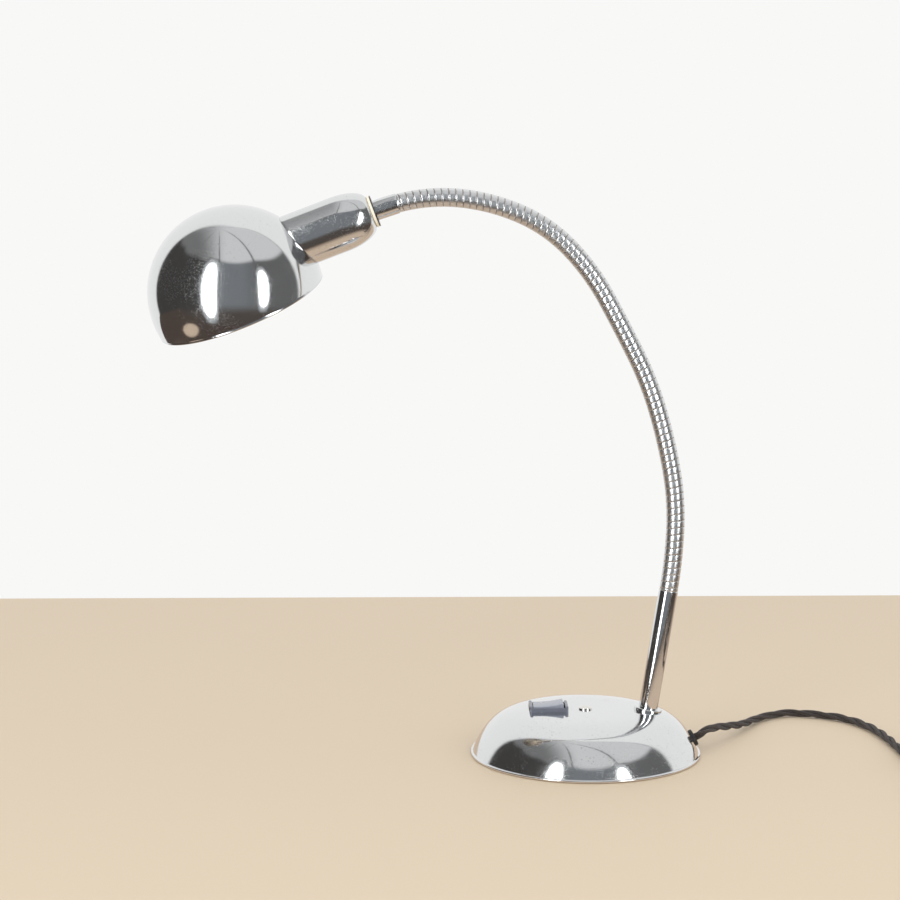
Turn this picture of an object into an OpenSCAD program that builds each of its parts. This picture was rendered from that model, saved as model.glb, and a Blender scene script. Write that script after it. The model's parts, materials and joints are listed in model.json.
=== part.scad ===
// Desk lamp: a weighted chrome foot with a rocker switch, a leaning stem, a ribbed flexible
// neck, a lampholder cup and a ball shade, with its twisted flex wound up beside it.
// Millimetres, +Z up. The origin is the centre of the foot on the table. The head reaches
// towards -X, and the flex leaves towards +X.

/* [Foot] */
// Diameter of the foot over its rolled lip
foot_d = 180; // [165:1:210]
// Height of the dome's top above the table
foot_h = 35; // [33:0.5:45]
// Squareness of the dome's shoulder, higher is squarer
dome_power = 6.4; // [5:0.1:9]
// Wall of the dome
shell_t = 1.2; // [0.8:0.1:1.6]
// Height of the rolled lip
lip_h = 1.8; // [1.2:0.1:3]
// How far the lip stands out past the dome
lip_w = 0.9; // [0.5:0.1:1.5]
// Thickness of the felt pad
felt_t = 1.6; // [1.2:0.1:2.5]
// How far the felt stands below the lip
felt_proud = 0.6; // [0.3:0.1:0.8]
// Thickness of the base plate
plate_t = 1; // [0.6:0.1:1.5]
// Thickness of the iron weight
weight_t = 12; // [8:0.5:13]
// Diameter of the iron weight
weight_d = 152; // [140:1:156]
// Thickness of the weight's floor under its pockets
pocket_floor = 2.6; // [2:0.1:4]
// Diameter of the screw that ties the foot together
tie_d = 5; // [4:0.5:6]
// Diameter of that screw's slotted head
tie_head_d = 10.5; // [9:0.5:13]

/* [Switch] */
// Place of the switch along the foot's diameter
switch_x = -29; // [-34:0.5:-26]
// Length of the switch's frame
switch_l = 30.3; // [28:0.1:32]
// Width of the switch's frame
switch_w = 22; // [20:0.1:24]
// Height of the frame's raised ends above the dome
switch_end_h = 5; // [3:0.5:5]
// Depth of the switch's body below the dome
switch_deep = 19; // [16:0.5:20]
// Angle of the rocker to each side of level
rocker_tilt = 6; // [3:0.5:8]

/* [Stem] */
// Distance of the stem from the foot's centre
stem_x = 49; // [44:0.5:54]
// Angle of the stem above the table
stem_angle = 80.8; // [78:0.1:90]
// Length of the stem
stem_len = 96; // [60:1:160]
// Outer diameter of the stem
stem_d = 15; // [14.4:0.1:18]
// Wall of the stem
stem_t = 1.2; // [0.8:0.1:1.2]
// Diameter of the collar under the stem
collar_d = 22; // [19:0.5:28]
// Thickness of the collar under the stem
collar_t = 1.8; // [1.2:0.1:4]

/* [Neck] */
// Outer diameter of the neck over its ribs
neck_d = 14.4; // [13.6:0.1:14.8]
// Bore of the neck
neck_bore = 7; // [6.6:0.1:7.6]
// Depth of the grooves between the ribs
rib_depth = 0.6; // [0.3:0.1:0.8]
// Length of one link of the neck
link_len = 47.4; // [40:0.2:60]
// Ribs on one link
ribs = 9; // [6:1:12]
// Diameter of the flex inside the neck
inner_flex_d = 5.4; // [4:0.1:5.6]
// Length of the ferrule at the head's end
ferrule_len = 18; // [16:0.5:26]
// Angle that the ferrule bends through
ferrule_turn = 5.8; // [3:0.2:12]
// Diameter of the ferrule
ferrule_d = 15.6; // [15.2:0.1:18]
// Wall of the ferrule
ferrule_t = 1.2; // [0.8:0.1:1.3]

/* [Head] */
// Angle that the head is turned about the lampholder's axis
head_roll = 14; // [0:1:30]
// Diameter of the two washers
washer_d = 24.5; // [22:0.5:28]
// Thickness of the steel washer
steel_washer_t = 0.8; // [0.5:0.1:1.5]
// Thickness of the brass washer
brass_washer_t = 2.2; // [1.5:0.1:3]
// Diameter of the lampholder cup
cup_d = 43; // [42:0.5:46]
// Length of the cup's rounded end
cup_round = 26; // [20:0.5:30]
// Wall of the cup
cup_t = 0.9; // [0.6:0.1:1.2]
// Diameter of the ball shade
shade_d = 135; // [132:1:150]
// Distance from the washers' face to the shade's centre
shade_reach = 122.5; // [120.5:0.5:124.5]
// How far the shade's centre lies below the lampholder's axis
shade_drop = 21; // [19:0.5:22]
// Distance from the shade's centre down to its rim
rim_drop = 10.8; // [8:0.2:16]
// Wall of the shade
shade_t = 0.9; // [0.7:0.1:1.4]
// Diameter of the bead round the rim
bead_d = 2; // [1.8:0.1:3]

/* [Bulb] */
// Diameter of the bulb's globe
globe_d = 45; // [40:1:50]
// Length of the bulb's glass
glass_l = 49; // [46:1:56]
// Diameter of the bulb's screw cap
bulb_cap_d = 26.4; // [25.6:0.1:26.6]

/* [Flex] */
// Diameter of the twisted flex
flex_d = 6.5; // [5:0.1:6.6]
// Height of the grommet on the dome
grommet_z = 10; // [9:0.5:16]
// Angle round the foot at which the flex leaves
grommet_turn = 3; // [0:1:12]
// Diameter of the grommet's flange
grommet_d = 13.5; // [12:0.5:16]
// Turns in the stored coil
coil_turns = 6; // [4:0.5:7]
// Radius of the coil's outermost turn
coil_r = 48.5; // [47:0.5:60]
// Clearance between neighbouring turns
coil_gap = 0.5; // [0.5:0.05:1.5]

/* [Plug] */
// Width of the plug's body
plug_w = 34; // [28:1:38]
// Length of the plug's body
plug_l = 38; // [30:1:50]
// Height of the plug's body
plug_h = 20.6; // [18:0.2:21]
// Diameter of the plug's pins
pin_d = 4.8; // [4:0.1:5]
// Length of the plug's pins
pin_l = 19; // [16:0.5:20]
// Distance between the plug's pins
pin_pitch = 19; // [17:0.5:20]

/* [Hidden] */
$fn = 64;
// Clearance of threads and press fits, on the radius
fit = 0.05;
// Clearance of loose pieces
gap = 0.3;
// Sides of the ribbed, wound and flexible tubes
tube_sides = 8;
coil_sides = 6;
// Rings in one turn of the coil
coil_rings = 24;

// The neck's rest shape: how far each link turns, from the stem to the head
neck_turns = [7, 12.5, 6.5, 10, 2, 15, 23, 17.5, 20.5];
links = len(neck_turns);
// How far the neck is pushed into the stem and into the ferrule
neck_insert = 10;
// A neck joint is a ball of this radius, centred behind the end of each link
ball_r = neck_d / 2 + 1.8;
ball_gap = 0.7;

// The route of the flex on the table, from the grommet to the coil
flex_points = [
    [98, 10, 15.5], [103, 18, 14.6], [109, 27, 13], [116, 37, 11], [124, 49, 8.7], [132, 61, 6.5],
    [141, 76, 5], [150, 90, 4], [158, 99, 3.5], [167, 106, 3.5], [176, 110, 3.5], [185, 111, 3.5],
    [196, 108, 3.5], [209, 102, 3.5], [222, 92, 3.5], [232, 77, 3.5], [239, 58, 3.5],
    [243, 36, 3.5], [245, 14, 3.5], [246, -8, 3.6], [247, -30, 3.8]];
// The coil's centre, its height above the table and the angle at which the flex joins it
coil_centre = [300, -45];
coil_lift = 0.75;
coil_start = 200;
// Free length between the coil and the plug
tail_len = 22;

neck_r = neck_d / 2;
groove_r = neck_r - rib_depth;
bore_r = neck_bore / 2;
inner_flex_r = inner_flex_d / 2;
rib_pitch = link_len / ribs;
// Radius of the neck's plain ends in the stem and in the curved ferrule
stem_end_r = stem_d / 2 - stem_t - 0.1;
ferrule_bore_r = ferrule_d / 2 - ferrule_t;
ferrule_end_r = ferrule_bore_r - 0.4;
nipple_r = 5;
nipple_bore_r = inner_flex_r + 0.7;

// The dome is the curve z = rise * (1 - (r / radius) ^ power)
dome_r = foot_d / 2 - lip_w;
dome_rise = foot_h - felt_proud;
function dome_z(r) = felt_proud + dome_rise * (1 - pow(r / dome_r, dome_power));
function dome_r_at(z) = dome_r * pow(1 - (z - felt_proud) / dome_rise, 1 / dome_power);
function inside_r_at(z) = (dome_r - shell_t)
    * pow(1 - (z - felt_proud) / (dome_rise - shell_t), 1 / dome_power);
function dome_slope(r) = atan(dome_rise * dome_power / dome_r * pow(r / dome_r, dome_power - 1));
function dome_bend_r(r) = pow(cos(dome_slope(r)), -3) * pow(dome_r, 2)
    / (dome_rise * dome_power * (dome_power - 1) * pow(r / dome_r, dome_power - 2));
// Its points from the top to the lip, close together where the curve is tight
dome_steps = 24;
function dome_curve(radius, rise) = [for (i = [0 : dome_steps])
    let (u = 90 * pow(i / dome_steps, 1.6))
    [radius * pow(sin(u), 2 / dome_power), felt_proud + rise * pow(cos(u), 2)]];

// Heights inside the foot
plate_z = felt_t;
weight_z = plate_z + plate_t;
weight_top = weight_z + weight_t;
roof_z = foot_h - shell_t;
// The nut under the foot sits in a dimple of the base plate
nut_h = 4;
nut_r = tie_d * 0.92;
dimple_r = nut_r + 2.5;
dimple_z = 1.2 + nut_h + gap;
boss_r = tie_d / 2 + 5;
pocket_z = weight_z + pocket_floor;

// Switch
switch_frame_h = 3.5;
switch_hole_l = switch_l - 3;
switch_hole_w = switch_w - 1;
rocker_l = switch_l - 6.3;
rocker_w = switch_w - 3.6;
rocker_up = 5;
rocker_gap = 0.6;
pivot_z = foot_h + 0.2;
pivot_r = 1.2;
pivot_l = rocker_w + 1.4;
terminal_x = 7;
terminal_z = foot_h - switch_deep - 5;

// Sections in the plane of the neck are [x, z, heading], with the heading in degrees
stem_seat = [stem_x, dome_z(stem_x), stem_angle];
stem_top = ahead(stem_seat, stem_len);
function ahead(s, d) = [s[0] + d * cos(s[2]), s[1] + d * sin(s[2]), s[2]];
// A section further along an arc that curves by so many degrees a millimetre
function along(s, curve, d) = let (r = 180 / (PI * curve), h = s[2] + curve * d)
    [s[0] + r * (sin(h) - sin(s[2])), s[1] - r * (cos(h) - cos(s[2])), h];
// The section where link k starts, counted from 0
function link_start(k) = k == 0 ? stem_top
    : along(link_start(k - 1), neck_turns[k - 1] / link_len, link_len);
neck_end = link_start(links);
ferrule_curve = ferrule_turn / ferrule_len;
head_seat = along(neck_end, ferrule_curve, ferrule_len);
// The joint between two links turns about this point behind the upper link's start
ball_back = sqrt(pow(ball_r, 2) - pow((bore_r + groove_r) / 2, 2));
function ball_z(r, extra = 0) = sqrt(pow(ball_r + extra, 2) - r * r) - ball_back;

// Head, measured along the lampholder's axis from the end of the ferrule
washers_z = steel_washer_t + brass_washer_t;
cup_r = cup_d / 2;
cup_end_r = washer_d / 2 - 1.5;
cup_straight_z = washers_z + cup_round;
shade_r = shade_d / 2;
shade_centre = [-shade_drop, 0, shade_reach];
rim_r = sqrt(pow(shade_r, 2) - pow(rim_drop, 2));
bead_out = 0.2;
holder_r = cup_r - 2.3;
holder_cap_l = 24;
holder_z = washers_z + cup_t + gap + holder_cap_l;
// The ring's end face stands just inside the shade, and the holder's body ends past it
ring_w = 5.5;
ring_lip = 2.6;
ring_z = shade_reach + ring_lip
    - sqrt(pow(shade_r - shade_t, 2) - pow(shade_drop + holder_r + ring_w, 2));
holder_l = ring_z + 2 - holder_z;
holder_bore_r = bulb_cap_d / 2 + 2;
holder_floor = 8;
lead_z = washers_z + 16;
thread_z = holder_z + 22;
thread_l = 24;
cap_z = thread_z - 1;
cap_l = 26;
glass_z = cap_z + cap_l;
glass_t = 1;
neck_glass_r = bulb_cap_d / 2 - 0.6;
globe_r = globe_d / 2;
globe_z = glass_z + glass_l - globe_r;
// The glass flares from its neck to where it meets the globe
flare_r = globe_r * 0.9;
flare_l = globe_z - glass_z - sqrt(pow(globe_r, 2) - pow(flare_r, 2));

// Flex
flex_r = flex_d / 2;
grommet_out = 2.4;
grommet_in = 1.8;
grommet_r = grommet_d / 2;
grommet_neck_r = grommet_r - 1.4;
exit_r = dome_r_at(grommet_z);
exit_tilt = 90 - dome_slope(exit_r);
// A ball as round as the dome is there, on average, seats the grommet
seat_r = (dome_bend_r(exit_r) + exit_r / cos(exit_tilt)) / 2;
exit_dir = [cos(exit_tilt) * cos(grommet_turn), cos(exit_tilt) * sin(grommet_turn),
    sin(exit_tilt)];
exit_point = [exit_r * cos(grommet_turn), exit_r * sin(grommet_turn), grommet_z];
flex_exit = exit_point + (grommet_out + fit) * exit_dir;
coil_pitch = flex_d + coil_gap;
coil_z = flex_r + coil_lift;
coil_in_r = coil_r - coil_pitch * coil_turns / 2;
// A point of the coil after t turns: it spirals in on the table and out again on top
function coil_radius(t) = coil_in_r + coil_pitch * abs(t - coil_turns / 2);
function coil_point(t) = let (
    r = coil_radius(t),
    climb = min(max(2 * (t - coil_turns / 2) + 0.5, 0), 1),
    a = coil_start + 360 * t)
    [coil_centre.x + r * cos(a), coil_centre.y + r * sin(a), coil_z + coil_pitch * climb];
coil_dir = [-sin(coil_start), cos(coil_start), 0];
coil_out_dir = let (a = coil_start + 360 * coil_turns) [-sin(a), cos(a), 0];
coil_entry = coil_point(0) - flex_d * coil_dir;
coil_exit = coil_point(coil_turns) + flex_d * coil_out_dir;
coil_path = concat([coil_entry],
    [for (i = [0 : round(coil_rings * coil_turns)]) coil_point(i / coil_rings)],
    [coil_exit]);
flex_route = concat([flex_exit, flex_exit + flex_d * exit_dir], flex_points,
    [coil_entry - flex_d * coil_dir, coil_entry]);
plug_entry = [coil_exit.x, coil_exit.y, plug_h / 2 + 0.05] + tail_len * coil_out_dir;
relief_l = 14;
// Radius of the coil where the tie goes round it
tie_radii = [for (t = [0.5 : coil_turns]) coil_radius(t)];

// Terminal block in the foot, by its edge towards the stem, and the clamp on the flex
block_size = [18, 18, 12];
block_at = [40, -34];
block_pitch = 9;
clamp_from = [dome_r - 16, 3];
clamp_to = [dome_r - 27, -5];
clamp_l = 7;
clamp_w = 18;
// How far the lead from the stem comes down before it bends, and the bend's length
lead_down = 10;
lead_bend = 5;
// Clearance of the wires round the block
wire_room = 14;

// The coil's least distance between tube surfaces, over points more than half a turn apart
coil_near = min([for (i = [0 : 4 : len(coil_path) - 1])
    for (j = [i + floor(coil_rings / 2) : len(coil_path) - 1])
    norm(coil_path[i] - coil_path[j])]) - flex_d;
echo(least_gap_in_coil_mm = coil_near);

// Frames of the leaning stem and of the head, with local +Z along the axis
module on_stem() {
    translate([stem_seat[0], 0, stem_seat[1]]) rotate([0, 90 - stem_angle, 0]) children();
}
module at_head() {
    translate([head_seat[0], 0, head_seat[1]]) rotate([0, 90 - head_seat[2], 0])
        rotate([0, 0, -head_roll]) children();
}

// A closed skin over rings of points that run along a path, or round a loop of rings
module skin(rings, loop = false) {
    n = len(rings[0]);
    m = len(rings);
    sides = [for (i = [0 : m - (loop ? 1 : 2)], j = [0 : n - 1])
        let (a = i * n + j, b = (i + 1) % m * n + j, c = (i + 1) % m * n + (j + 1) % n,
            d = i * n + (j + 1) % n)
        each [[a, b, c], [a, c, d]]];
    ends = loop ? [] : [for (j = [1 : n - 2])
        each [[0, j, j + 1], [(m - 1) * n, (m - 1) * n + j + 1, (m - 1) * n + j]]];
    polyhedron(points = [for (r = rings) each r], faces = concat(sides, ends), convexity = 8);
}

// A ring of points about a section in the plane of the neck
function neck_ring(s, r) = [for (j = [0 : tube_sides - 1])
    let (f = 360 * (j + 0.5) / tube_sides)
    [s[0] - r * sin(f) * sin(s[2]), r * cos(f), s[1] + r * sin(f) * cos(s[2])]];

// A tube along points in space
function unit(v) = v / norm(v);
function tube_rings(p, r, sides, up) = [for (i = [0 : len(p) - 1])
    let (t = unit(p[min(i + 1, len(p) - 1)] - p[max(i - 1, 0)]), u = unit(cross(up, t)),
        v = cross(t, u))
    [for (j = [0 : sides - 1])
        p[i] + r * (cos(360 * j / sides) * u + sin(360 * j / sides) * v)]];
module tube(p, r, sides = tube_sides, up = [0, 0, 1]) {
    skin(tube_rings(p, r, sides, up));
}

// The solid dome, and the space under its shell
module dome_solid() {
    rotate_extrude() polygon(concat(dome_curve(dome_r, dome_rise), [[0, felt_proud]]));
}
module dome_space(clear = 0) {
    rotate_extrude() polygon(concat(
        dome_curve(dome_r - shell_t - clear, dome_rise - shell_t - clear), [[0, felt_proud]]));
}

// Foot

module base_shell() {
    color("silver") difference() {
        union() {
            dome_solid();
            translate([0, 0, felt_proud]) cylinder(r = dome_r + lip_w - lip_h / 2, h = lip_h);
            translate([0, 0, felt_proud + lip_h / 2])
                rotate_extrude() translate([dome_r + lip_w - lip_h / 2, 0]) circle(r = lip_h / 2);
        }
        dome_space();
        translate([0, 0, -1]) cylinder(r = dome_r - shell_t, h = 1 + felt_proud + fit);
        translate([0, 0, roof_z - 1]) cylinder(r = tie_d / 2 + gap, h = shell_t + 2);
        translate([switch_x - switch_hole_l / 2, -switch_hole_w / 2, roof_z - 2])
            cube([switch_hole_l, switch_hole_w, shell_t + 4]);
        on_stem() translate([0, 0, -12]) cylinder(r = nipple_r + gap, h = 20);
        at_grommet() translate([0, 0, -8]) cylinder(r = grommet_neck_r + fit, h = 16);
    }
}

// The weight has one pocket under the switch, and one under the stem for the flex
module iron_weight() {
    color("dimgray") difference() {
        union() {
            translate([0, 0, weight_z])
                cylinder(r = min(inside_r_at(weight_top) - 0.5, weight_d / 2), h = weight_t);
            translate([0, 0, weight_top - 1]) cylinder(r = boss_r, h = roof_z - gap - weight_top + 1);
        }
        translate([0, 0, weight_z - 1]) {
            cylinder(r = tie_d / 2 + gap, h = foot_h);
            cylinder(r = dimple_r + gap, h = dimple_z + plate_t + gap - weight_z + 1);
        }
        translate([switch_x - switch_hole_l / 2 - 1, -switch_hole_w / 2 - 9, pocket_z])
            cube([switch_hole_l + 2, switch_hole_w + 10, foot_h]);
        translate([block_at.x - block_size.x / 2 - 2, block_at.y - block_size.y - 12, pocket_z])
            cube([foot_d, 14 - block_at.y + block_size.y + 12, foot_h]);
    }
}

module base_plate() {
    color("darkgray") difference() {
        union() {
            translate([0, 0, plate_z]) cylinder(r = dome_r - shell_t - 1.5, h = plate_t);
            translate([0, 0, plate_z]) cylinder(r = dimple_r, h = dimple_z + plate_t - plate_z);
        }
        translate([0, 0, plate_z - 1]) cylinder(r = dimple_r - plate_t, h = dimple_z - plate_z + 1);
        cylinder(r = tie_d / 2 + gap, h = foot_h);
    }
}

module felt_pad() {
    color("darkolivegreen") difference() {
        cylinder(r = dome_r - shell_t - 2.5, h = felt_t);
        translate([0, 0, -1]) cylinder(r = dimple_r, h = felt_t + 2);
    }
}

module tie_screw() {
    head_h = 2.4;
    color("gainsboro") difference() {
        union() {
            translate([0, 0, foot_h]) intersection() {
                cylinder(d = tie_head_d, h = head_h);
                translate([0, 0, head_h - tie_head_d]) sphere(r = tie_head_d);
            }
            translate([0, 0, 1]) cylinder(d = tie_d, h = foot_h);
        }
        translate([-0.6, -tie_head_d, foot_h + head_h - 1.2]) cube([1.2, 2 * tie_head_d, 3]);
    }
}

module tie_nut() {
    color("gainsboro") translate([0, 0, dimple_z - nut_h]) difference() {
        cylinder(r = nut_r, h = nut_h, $fn = 6);
        translate([0, 0, -1]) cylinder(r = tie_d / 2 + fit, h = nut_h + 2);
    }
}

// Switch

module switch_housing() {
    cavity_l = rocker_l + 2 * rocker_gap;
    cavity_w = rocker_w + 2 * gap;
    color("slategray") difference() {
        union() {
            difference() {
                translate([switch_x, 0, foot_h - 2]) linear_extrude(switch_end_h + 2) {
                    square([switch_l - 3, switch_w], center = true);
                    square([switch_l, switch_w - 3], center = true);
                    for (i = [-1, 1], j = [-1, 1])
                        translate([i * (switch_l / 2 - 1.5), j * (switch_w / 2 - 1.5)])
                            circle(r = 1.5);
                }
                dome_solid();
                translate([switch_x - cavity_l / 2, -switch_w, foot_h + switch_frame_h])
                    cube([cavity_l, 2 * switch_w, switch_end_h]);
            }
            translate([switch_x - switch_hole_l / 2 + 0.2, -switch_hole_w / 2 + 0.2,
                foot_h - switch_deep])
                cube([switch_hole_l - 0.4, switch_hole_w - 0.4, switch_deep + 1]);
        }
        translate([switch_x - cavity_l / 2, -cavity_w / 2, foot_h - switch_deep + 6])
            cube([cavity_l, cavity_w, switch_deep + 6]);
        translate([switch_x, -pivot_l / 2 - 0.1, pivot_z]) rotate([-90, 0, 0])
            cylinder(r = pivot_r + fit, h = pivot_l + 0.2);
        for (i = [-1, 1]) translate([switch_x + i * terminal_x - 0.5, -3.4, foot_h - switch_deep - 1])
            cube([1, 6.8, 5]);
    }
}

// The rocker's outline has a shallow dip between its two ends
module switch_rocker() {
    h = rocker_l / 2;
    color("lightslategray") translate([switch_x, 0, pivot_z]) rotate([0, -rocker_tilt, 0]) {
        translate([0, rocker_w / 2, 0]) rotate([90, 0, 0]) linear_extrude(rocker_w)
            polygon([[-h, -2], [-h, rocker_up - 0.6], [-h + 0.6, rocker_up], [-h / 2, rocker_up - 1],
                [0, rocker_up - 1.4], [h / 2, rocker_up - 1], [h - 0.6, rocker_up],
                [h, rocker_up - 0.6], [h, -2], [h / 2, -4.5], [0, -5.5], [-h / 2, -4.5]]);
        translate([0, -pivot_l / 2, 0]) rotate([-90, 0, 0]) cylinder(r = pivot_r, h = pivot_l);
    }
}

module switch_terminals() {
    color("goldenrod") for (i = [-1, 1])
        translate([switch_x + i * terminal_x - 0.4, -3.2, terminal_z]) cube([0.8, 6.4, 8.8]);
}

// Stem

module stem_tube() {
    color("silver") on_stem() translate([0, 0, collar_t]) difference() {
        cylinder(d = stem_d, h = stem_len - collar_t);
        translate([0, 0, -1]) cylinder(r = stem_d / 2 - stem_t, h = stem_len + 2);
    }
}

// The collar's underside follows the dome
module stem_collar() {
    color("silver") difference() {
        on_stem() difference() {
            union() {
                translate([0, 0, -4]) cylinder(d = collar_d, h = 4 + collar_t - 0.5);
                translate([0, 0, collar_t - 0.5]) cylinder(d1 = collar_d, d2 = collar_d - 1, h = 0.5);
            }
            translate([0, 0, -6]) cylinder(r = nipple_r + gap, h = 12);
        }
        dome_solid();
    }
}

module stem_bush() {
    color("goldenrod") on_stem() translate([0, 0, collar_t]) difference() {
        cylinder(r = stem_d / 2 - stem_t - fit, h = 12);
        translate([0, 0, -1]) cylinder(r = nipple_r + fit, h = 14);
    }
}

module stem_nipple() {
    color("goldenrod") on_stem() translate([0, 0, -13]) difference() {
        cylinder(r = nipple_r, h = 13 + collar_t + 11);
        translate([0, 0, -1]) cylinder(r = nipple_bore_r, h = 40);
    }
}

module stem_washer() {
    color("gainsboro") intersection() {
        on_stem() translate([0, 0, -shell_t - 2.6]) difference() {
            cylinder(r = nipple_r + 5, h = 5);
            translate([0, 0, -1]) cylinder(r = nipple_r + gap, h = 8);
        }
        dome_space(fit);
    }
}

module stem_nut() {
    color("gainsboro") on_stem() translate([0, 0, -shell_t - 2.6 - 5]) difference() {
        cylinder(r = nipple_r * 1.65, h = 5, $fn = 6);
        translate([0, 0, -1]) cylinder(r = nipple_r + fit, h = 7);
    }
}

// Neck: each link's rings run from its bore out over the ribs and back in at the far end.
// The lower end is a hollow ball seat and the upper end a ball, but the first link is
// pushed into the stem, and the last into the ferrule.

module neck_link(k) {
    start = link_start(k - 1);
    end = link_start(k);
    curve = neck_turns[k - 1] / link_len;
    mid_r = (bore_r + groove_r) / 2;
    low = k == 1
        ? [for (q = [[bore_r, -neck_insert], [stem_end_r, -neck_insert], [stem_end_r, 0], [groove_r, 0]])
            neck_ring(ahead(start, q[1]), q[0])]
        : [for (r = [bore_r, mid_r, groove_r]) neck_ring(ahead(start, ball_z(r, ball_gap)), r)];
    ribbed = [for (i = [1 : 2 * ribs - 1])
        neck_ring(along(start, curve, i * rib_pitch / 2), i % 2 == 1 ? neck_r : groove_r)];
    high = k == links
        ? [for (q = [[groove_r, 0], [ferrule_end_r, 0], [ferrule_end_r, neck_insert], [bore_r, neck_insert]])
            neck_ring(ahead(end, q[1]), q[0])]
        : [for (r = [groove_r, mid_r, bore_r]) neck_ring(ahead(end, ball_z(r)), r)];
    bore = [for (i = [3 : -1 : 1]) neck_ring(along(start, curve, i * link_len / 4), bore_r)];
    color("silver") skin(concat(low, ribbed, high, bore), loop = true);
}

// The flex inside each link stops at the same ball as the link does
module neck_flex(k) {
    start = link_start(k - 1);
    end = link_start(k);
    curve = neck_turns[k - 1] / link_len;
    low = k == 1 ? [ahead(start, -stem_len - 10), ahead(start, -stem_len / 2)]
        : [ahead(start, ball_r + ball_gap - ball_back)];
    high = k == links
        ? [end, along(end, ferrule_curve, ferrule_len / 2), head_seat, ahead(head_seat, lead_z)]
        : [ahead(end, ball_z(inner_flex_r))];
    mid = [for (i = [1 : 3]) along(start, curve, i * link_len / 4)];
    color("dimgray") skin([for (s = concat(low, mid, high)) neck_ring(s, inner_flex_r)]);
}

module neck_ferrule() {
    r = 180 / (PI * ferrule_curve);
    c = [neck_end[0] - r * sin(neck_end[2]), neck_end[1] + r * cos(neck_end[2])];
    color("silver") translate([c[0], 0, c[1]]) rotate([90, 0, 0]) rotate([0, 0, neck_end[2] - 90])
        rotate_extrude(angle = ferrule_turn) translate([r, 0]) difference() {
            circle(d = ferrule_d);
            circle(r = ferrule_bore_r);
        }
}

// Head

module head_nipple() {
    back = 7;
    color("goldenrod") at_head() difference() {
        union() {
            translate([0, 0, -back]) cylinder(r = nipple_r, h = back + washers_z + 13);
            translate([0, 0, -back + 1.4]) cylinder(r = ferrule_end_r, h = back - 1.4);
        }
        translate([0, 0, -back - 1]) cylinder(r = nipple_bore_r, h = 40);
    }
}

module washer(z, t) {
    at_head() translate([0, 0, z]) difference() {
        cylinder(d = washer_d, h = t);
        translate([0, 0, -1]) cylinder(r = nipple_r + fit, h = t + 2);
    }
}
module steel_washer() color("gray") washer(0, steel_washer_t);
module brass_washer() color("wheat") washer(steel_washer_t, brass_washer_t);

// The cup's end is a quarter ellipse, and its mouth is cut to the shade's curve
function cup_curve(r, end_r, z, round) = [for (i = [0 : 10])
    let (u = 9 * i) [end_r + (r - end_r) * sin(u), z + round * (1 - cos(u))]];
module holder_cup() {
    mouth_z = shade_reach - shade_r * 0.7;
    color("silver") at_head() difference() {
        rotate_extrude() polygon(concat([[0, washers_z]],
            cup_curve(cup_r, cup_end_r, washers_z, cup_round), [[cup_r, mouth_z], [0, mouth_z]]));
        rotate_extrude() polygon(concat([[0, washers_z + cup_t]],
            cup_curve(cup_r - cup_t, cup_end_r - cup_t, washers_z + cup_t, cup_round - cup_t),
            [[cup_r - cup_t, mouth_z + 1], [0, mouth_z + 1]]));
        cylinder(r = nipple_r + fit, h = washers_z + 5);
        translate(shade_centre) sphere(r = shade_r + 0.1, $fn = 128);
    }
}

module holder_cap() {
    z = washers_z + cup_t + gap;
    slim = cup_end_r - cup_t - gap;
    color("ivory") at_head() translate([0, 0, z]) difference() {
        union() {
            cylinder(r1 = slim - 1, r2 = holder_r - 2, h = 16);
            translate([0, 0, 16]) cylinder(r = holder_r - 2, h = holder_cap_l - 16);
        }
        translate([0, 0, -1]) cylinder(r = nipple_r + fit, h = 8);
        translate([0, 0, 6]) cylinder(r1 = slim - 3, r2 = holder_r - 4.5, h = 10);
        translate([0, 0, 15.9]) cylinder(r = holder_r - 4.5, h = holder_cap_l);
    }
}

module holder_body() {
    color("ivory") at_head() translate([0, 0, holder_z]) difference() {
        cylinder(r = holder_r, h = holder_l);
        translate([0, 0, holder_floor]) cylinder(r = holder_bore_r, h = holder_l);
        for (i = [-1, 1]) translate([0, i * 8, -1]) cylinder(r = 1.6, h = holder_floor + 2);
    }
}

module holder_thread() {
    wall = 0.6;
    outer = holder_bore_r - fit;
    color("goldenrod") at_head() difference() {
        translate([0, 0, thread_z]) cylinder(r = outer, h = thread_l);
        translate([0, 0, thread_z - 1]) cylinder(r = outer - wall, h = thread_l + 2);
    }
}

// A sprung centre contact, a side contact and the two terminal posts
module holder_contacts() {
    floor_z = holder_z + holder_floor;
    color("goldenrod") at_head() {
        translate([-4, -9, floor_z]) cube([8, 18, 0.8]);
        translate([-3, -1.6, floor_z]) cube([6, 3.2, cap_z - floor_z - 2 - gap]);
        translate([holder_bore_r - 3, -3, floor_z]) cube([1, 6, thread_z - floor_z - gap]);
        translate([3, -3, floor_z]) cube([holder_bore_r - 5, 6, 0.8]);
        for (i = [-1, 1]) translate([0, i * 8, holder_z - 7]) cylinder(r = 1.5, h = 7 + holder_floor + 0.4);
    }
}

// The last of the two conductors, from the flex in the neck to the terminal posts
module holder_leads() {
    color("saddlebrown") at_head() for (i = [-1, 1])
        tube([[0, i * 1.4, lead_z], [0, i * 1.4, lead_z + 2], [0, i * 5, holder_z - 3.5],
            [0, i * 6.5, holder_z - 3.5]], 0.9, 6, up = [1, 0, 0]);
}

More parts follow.
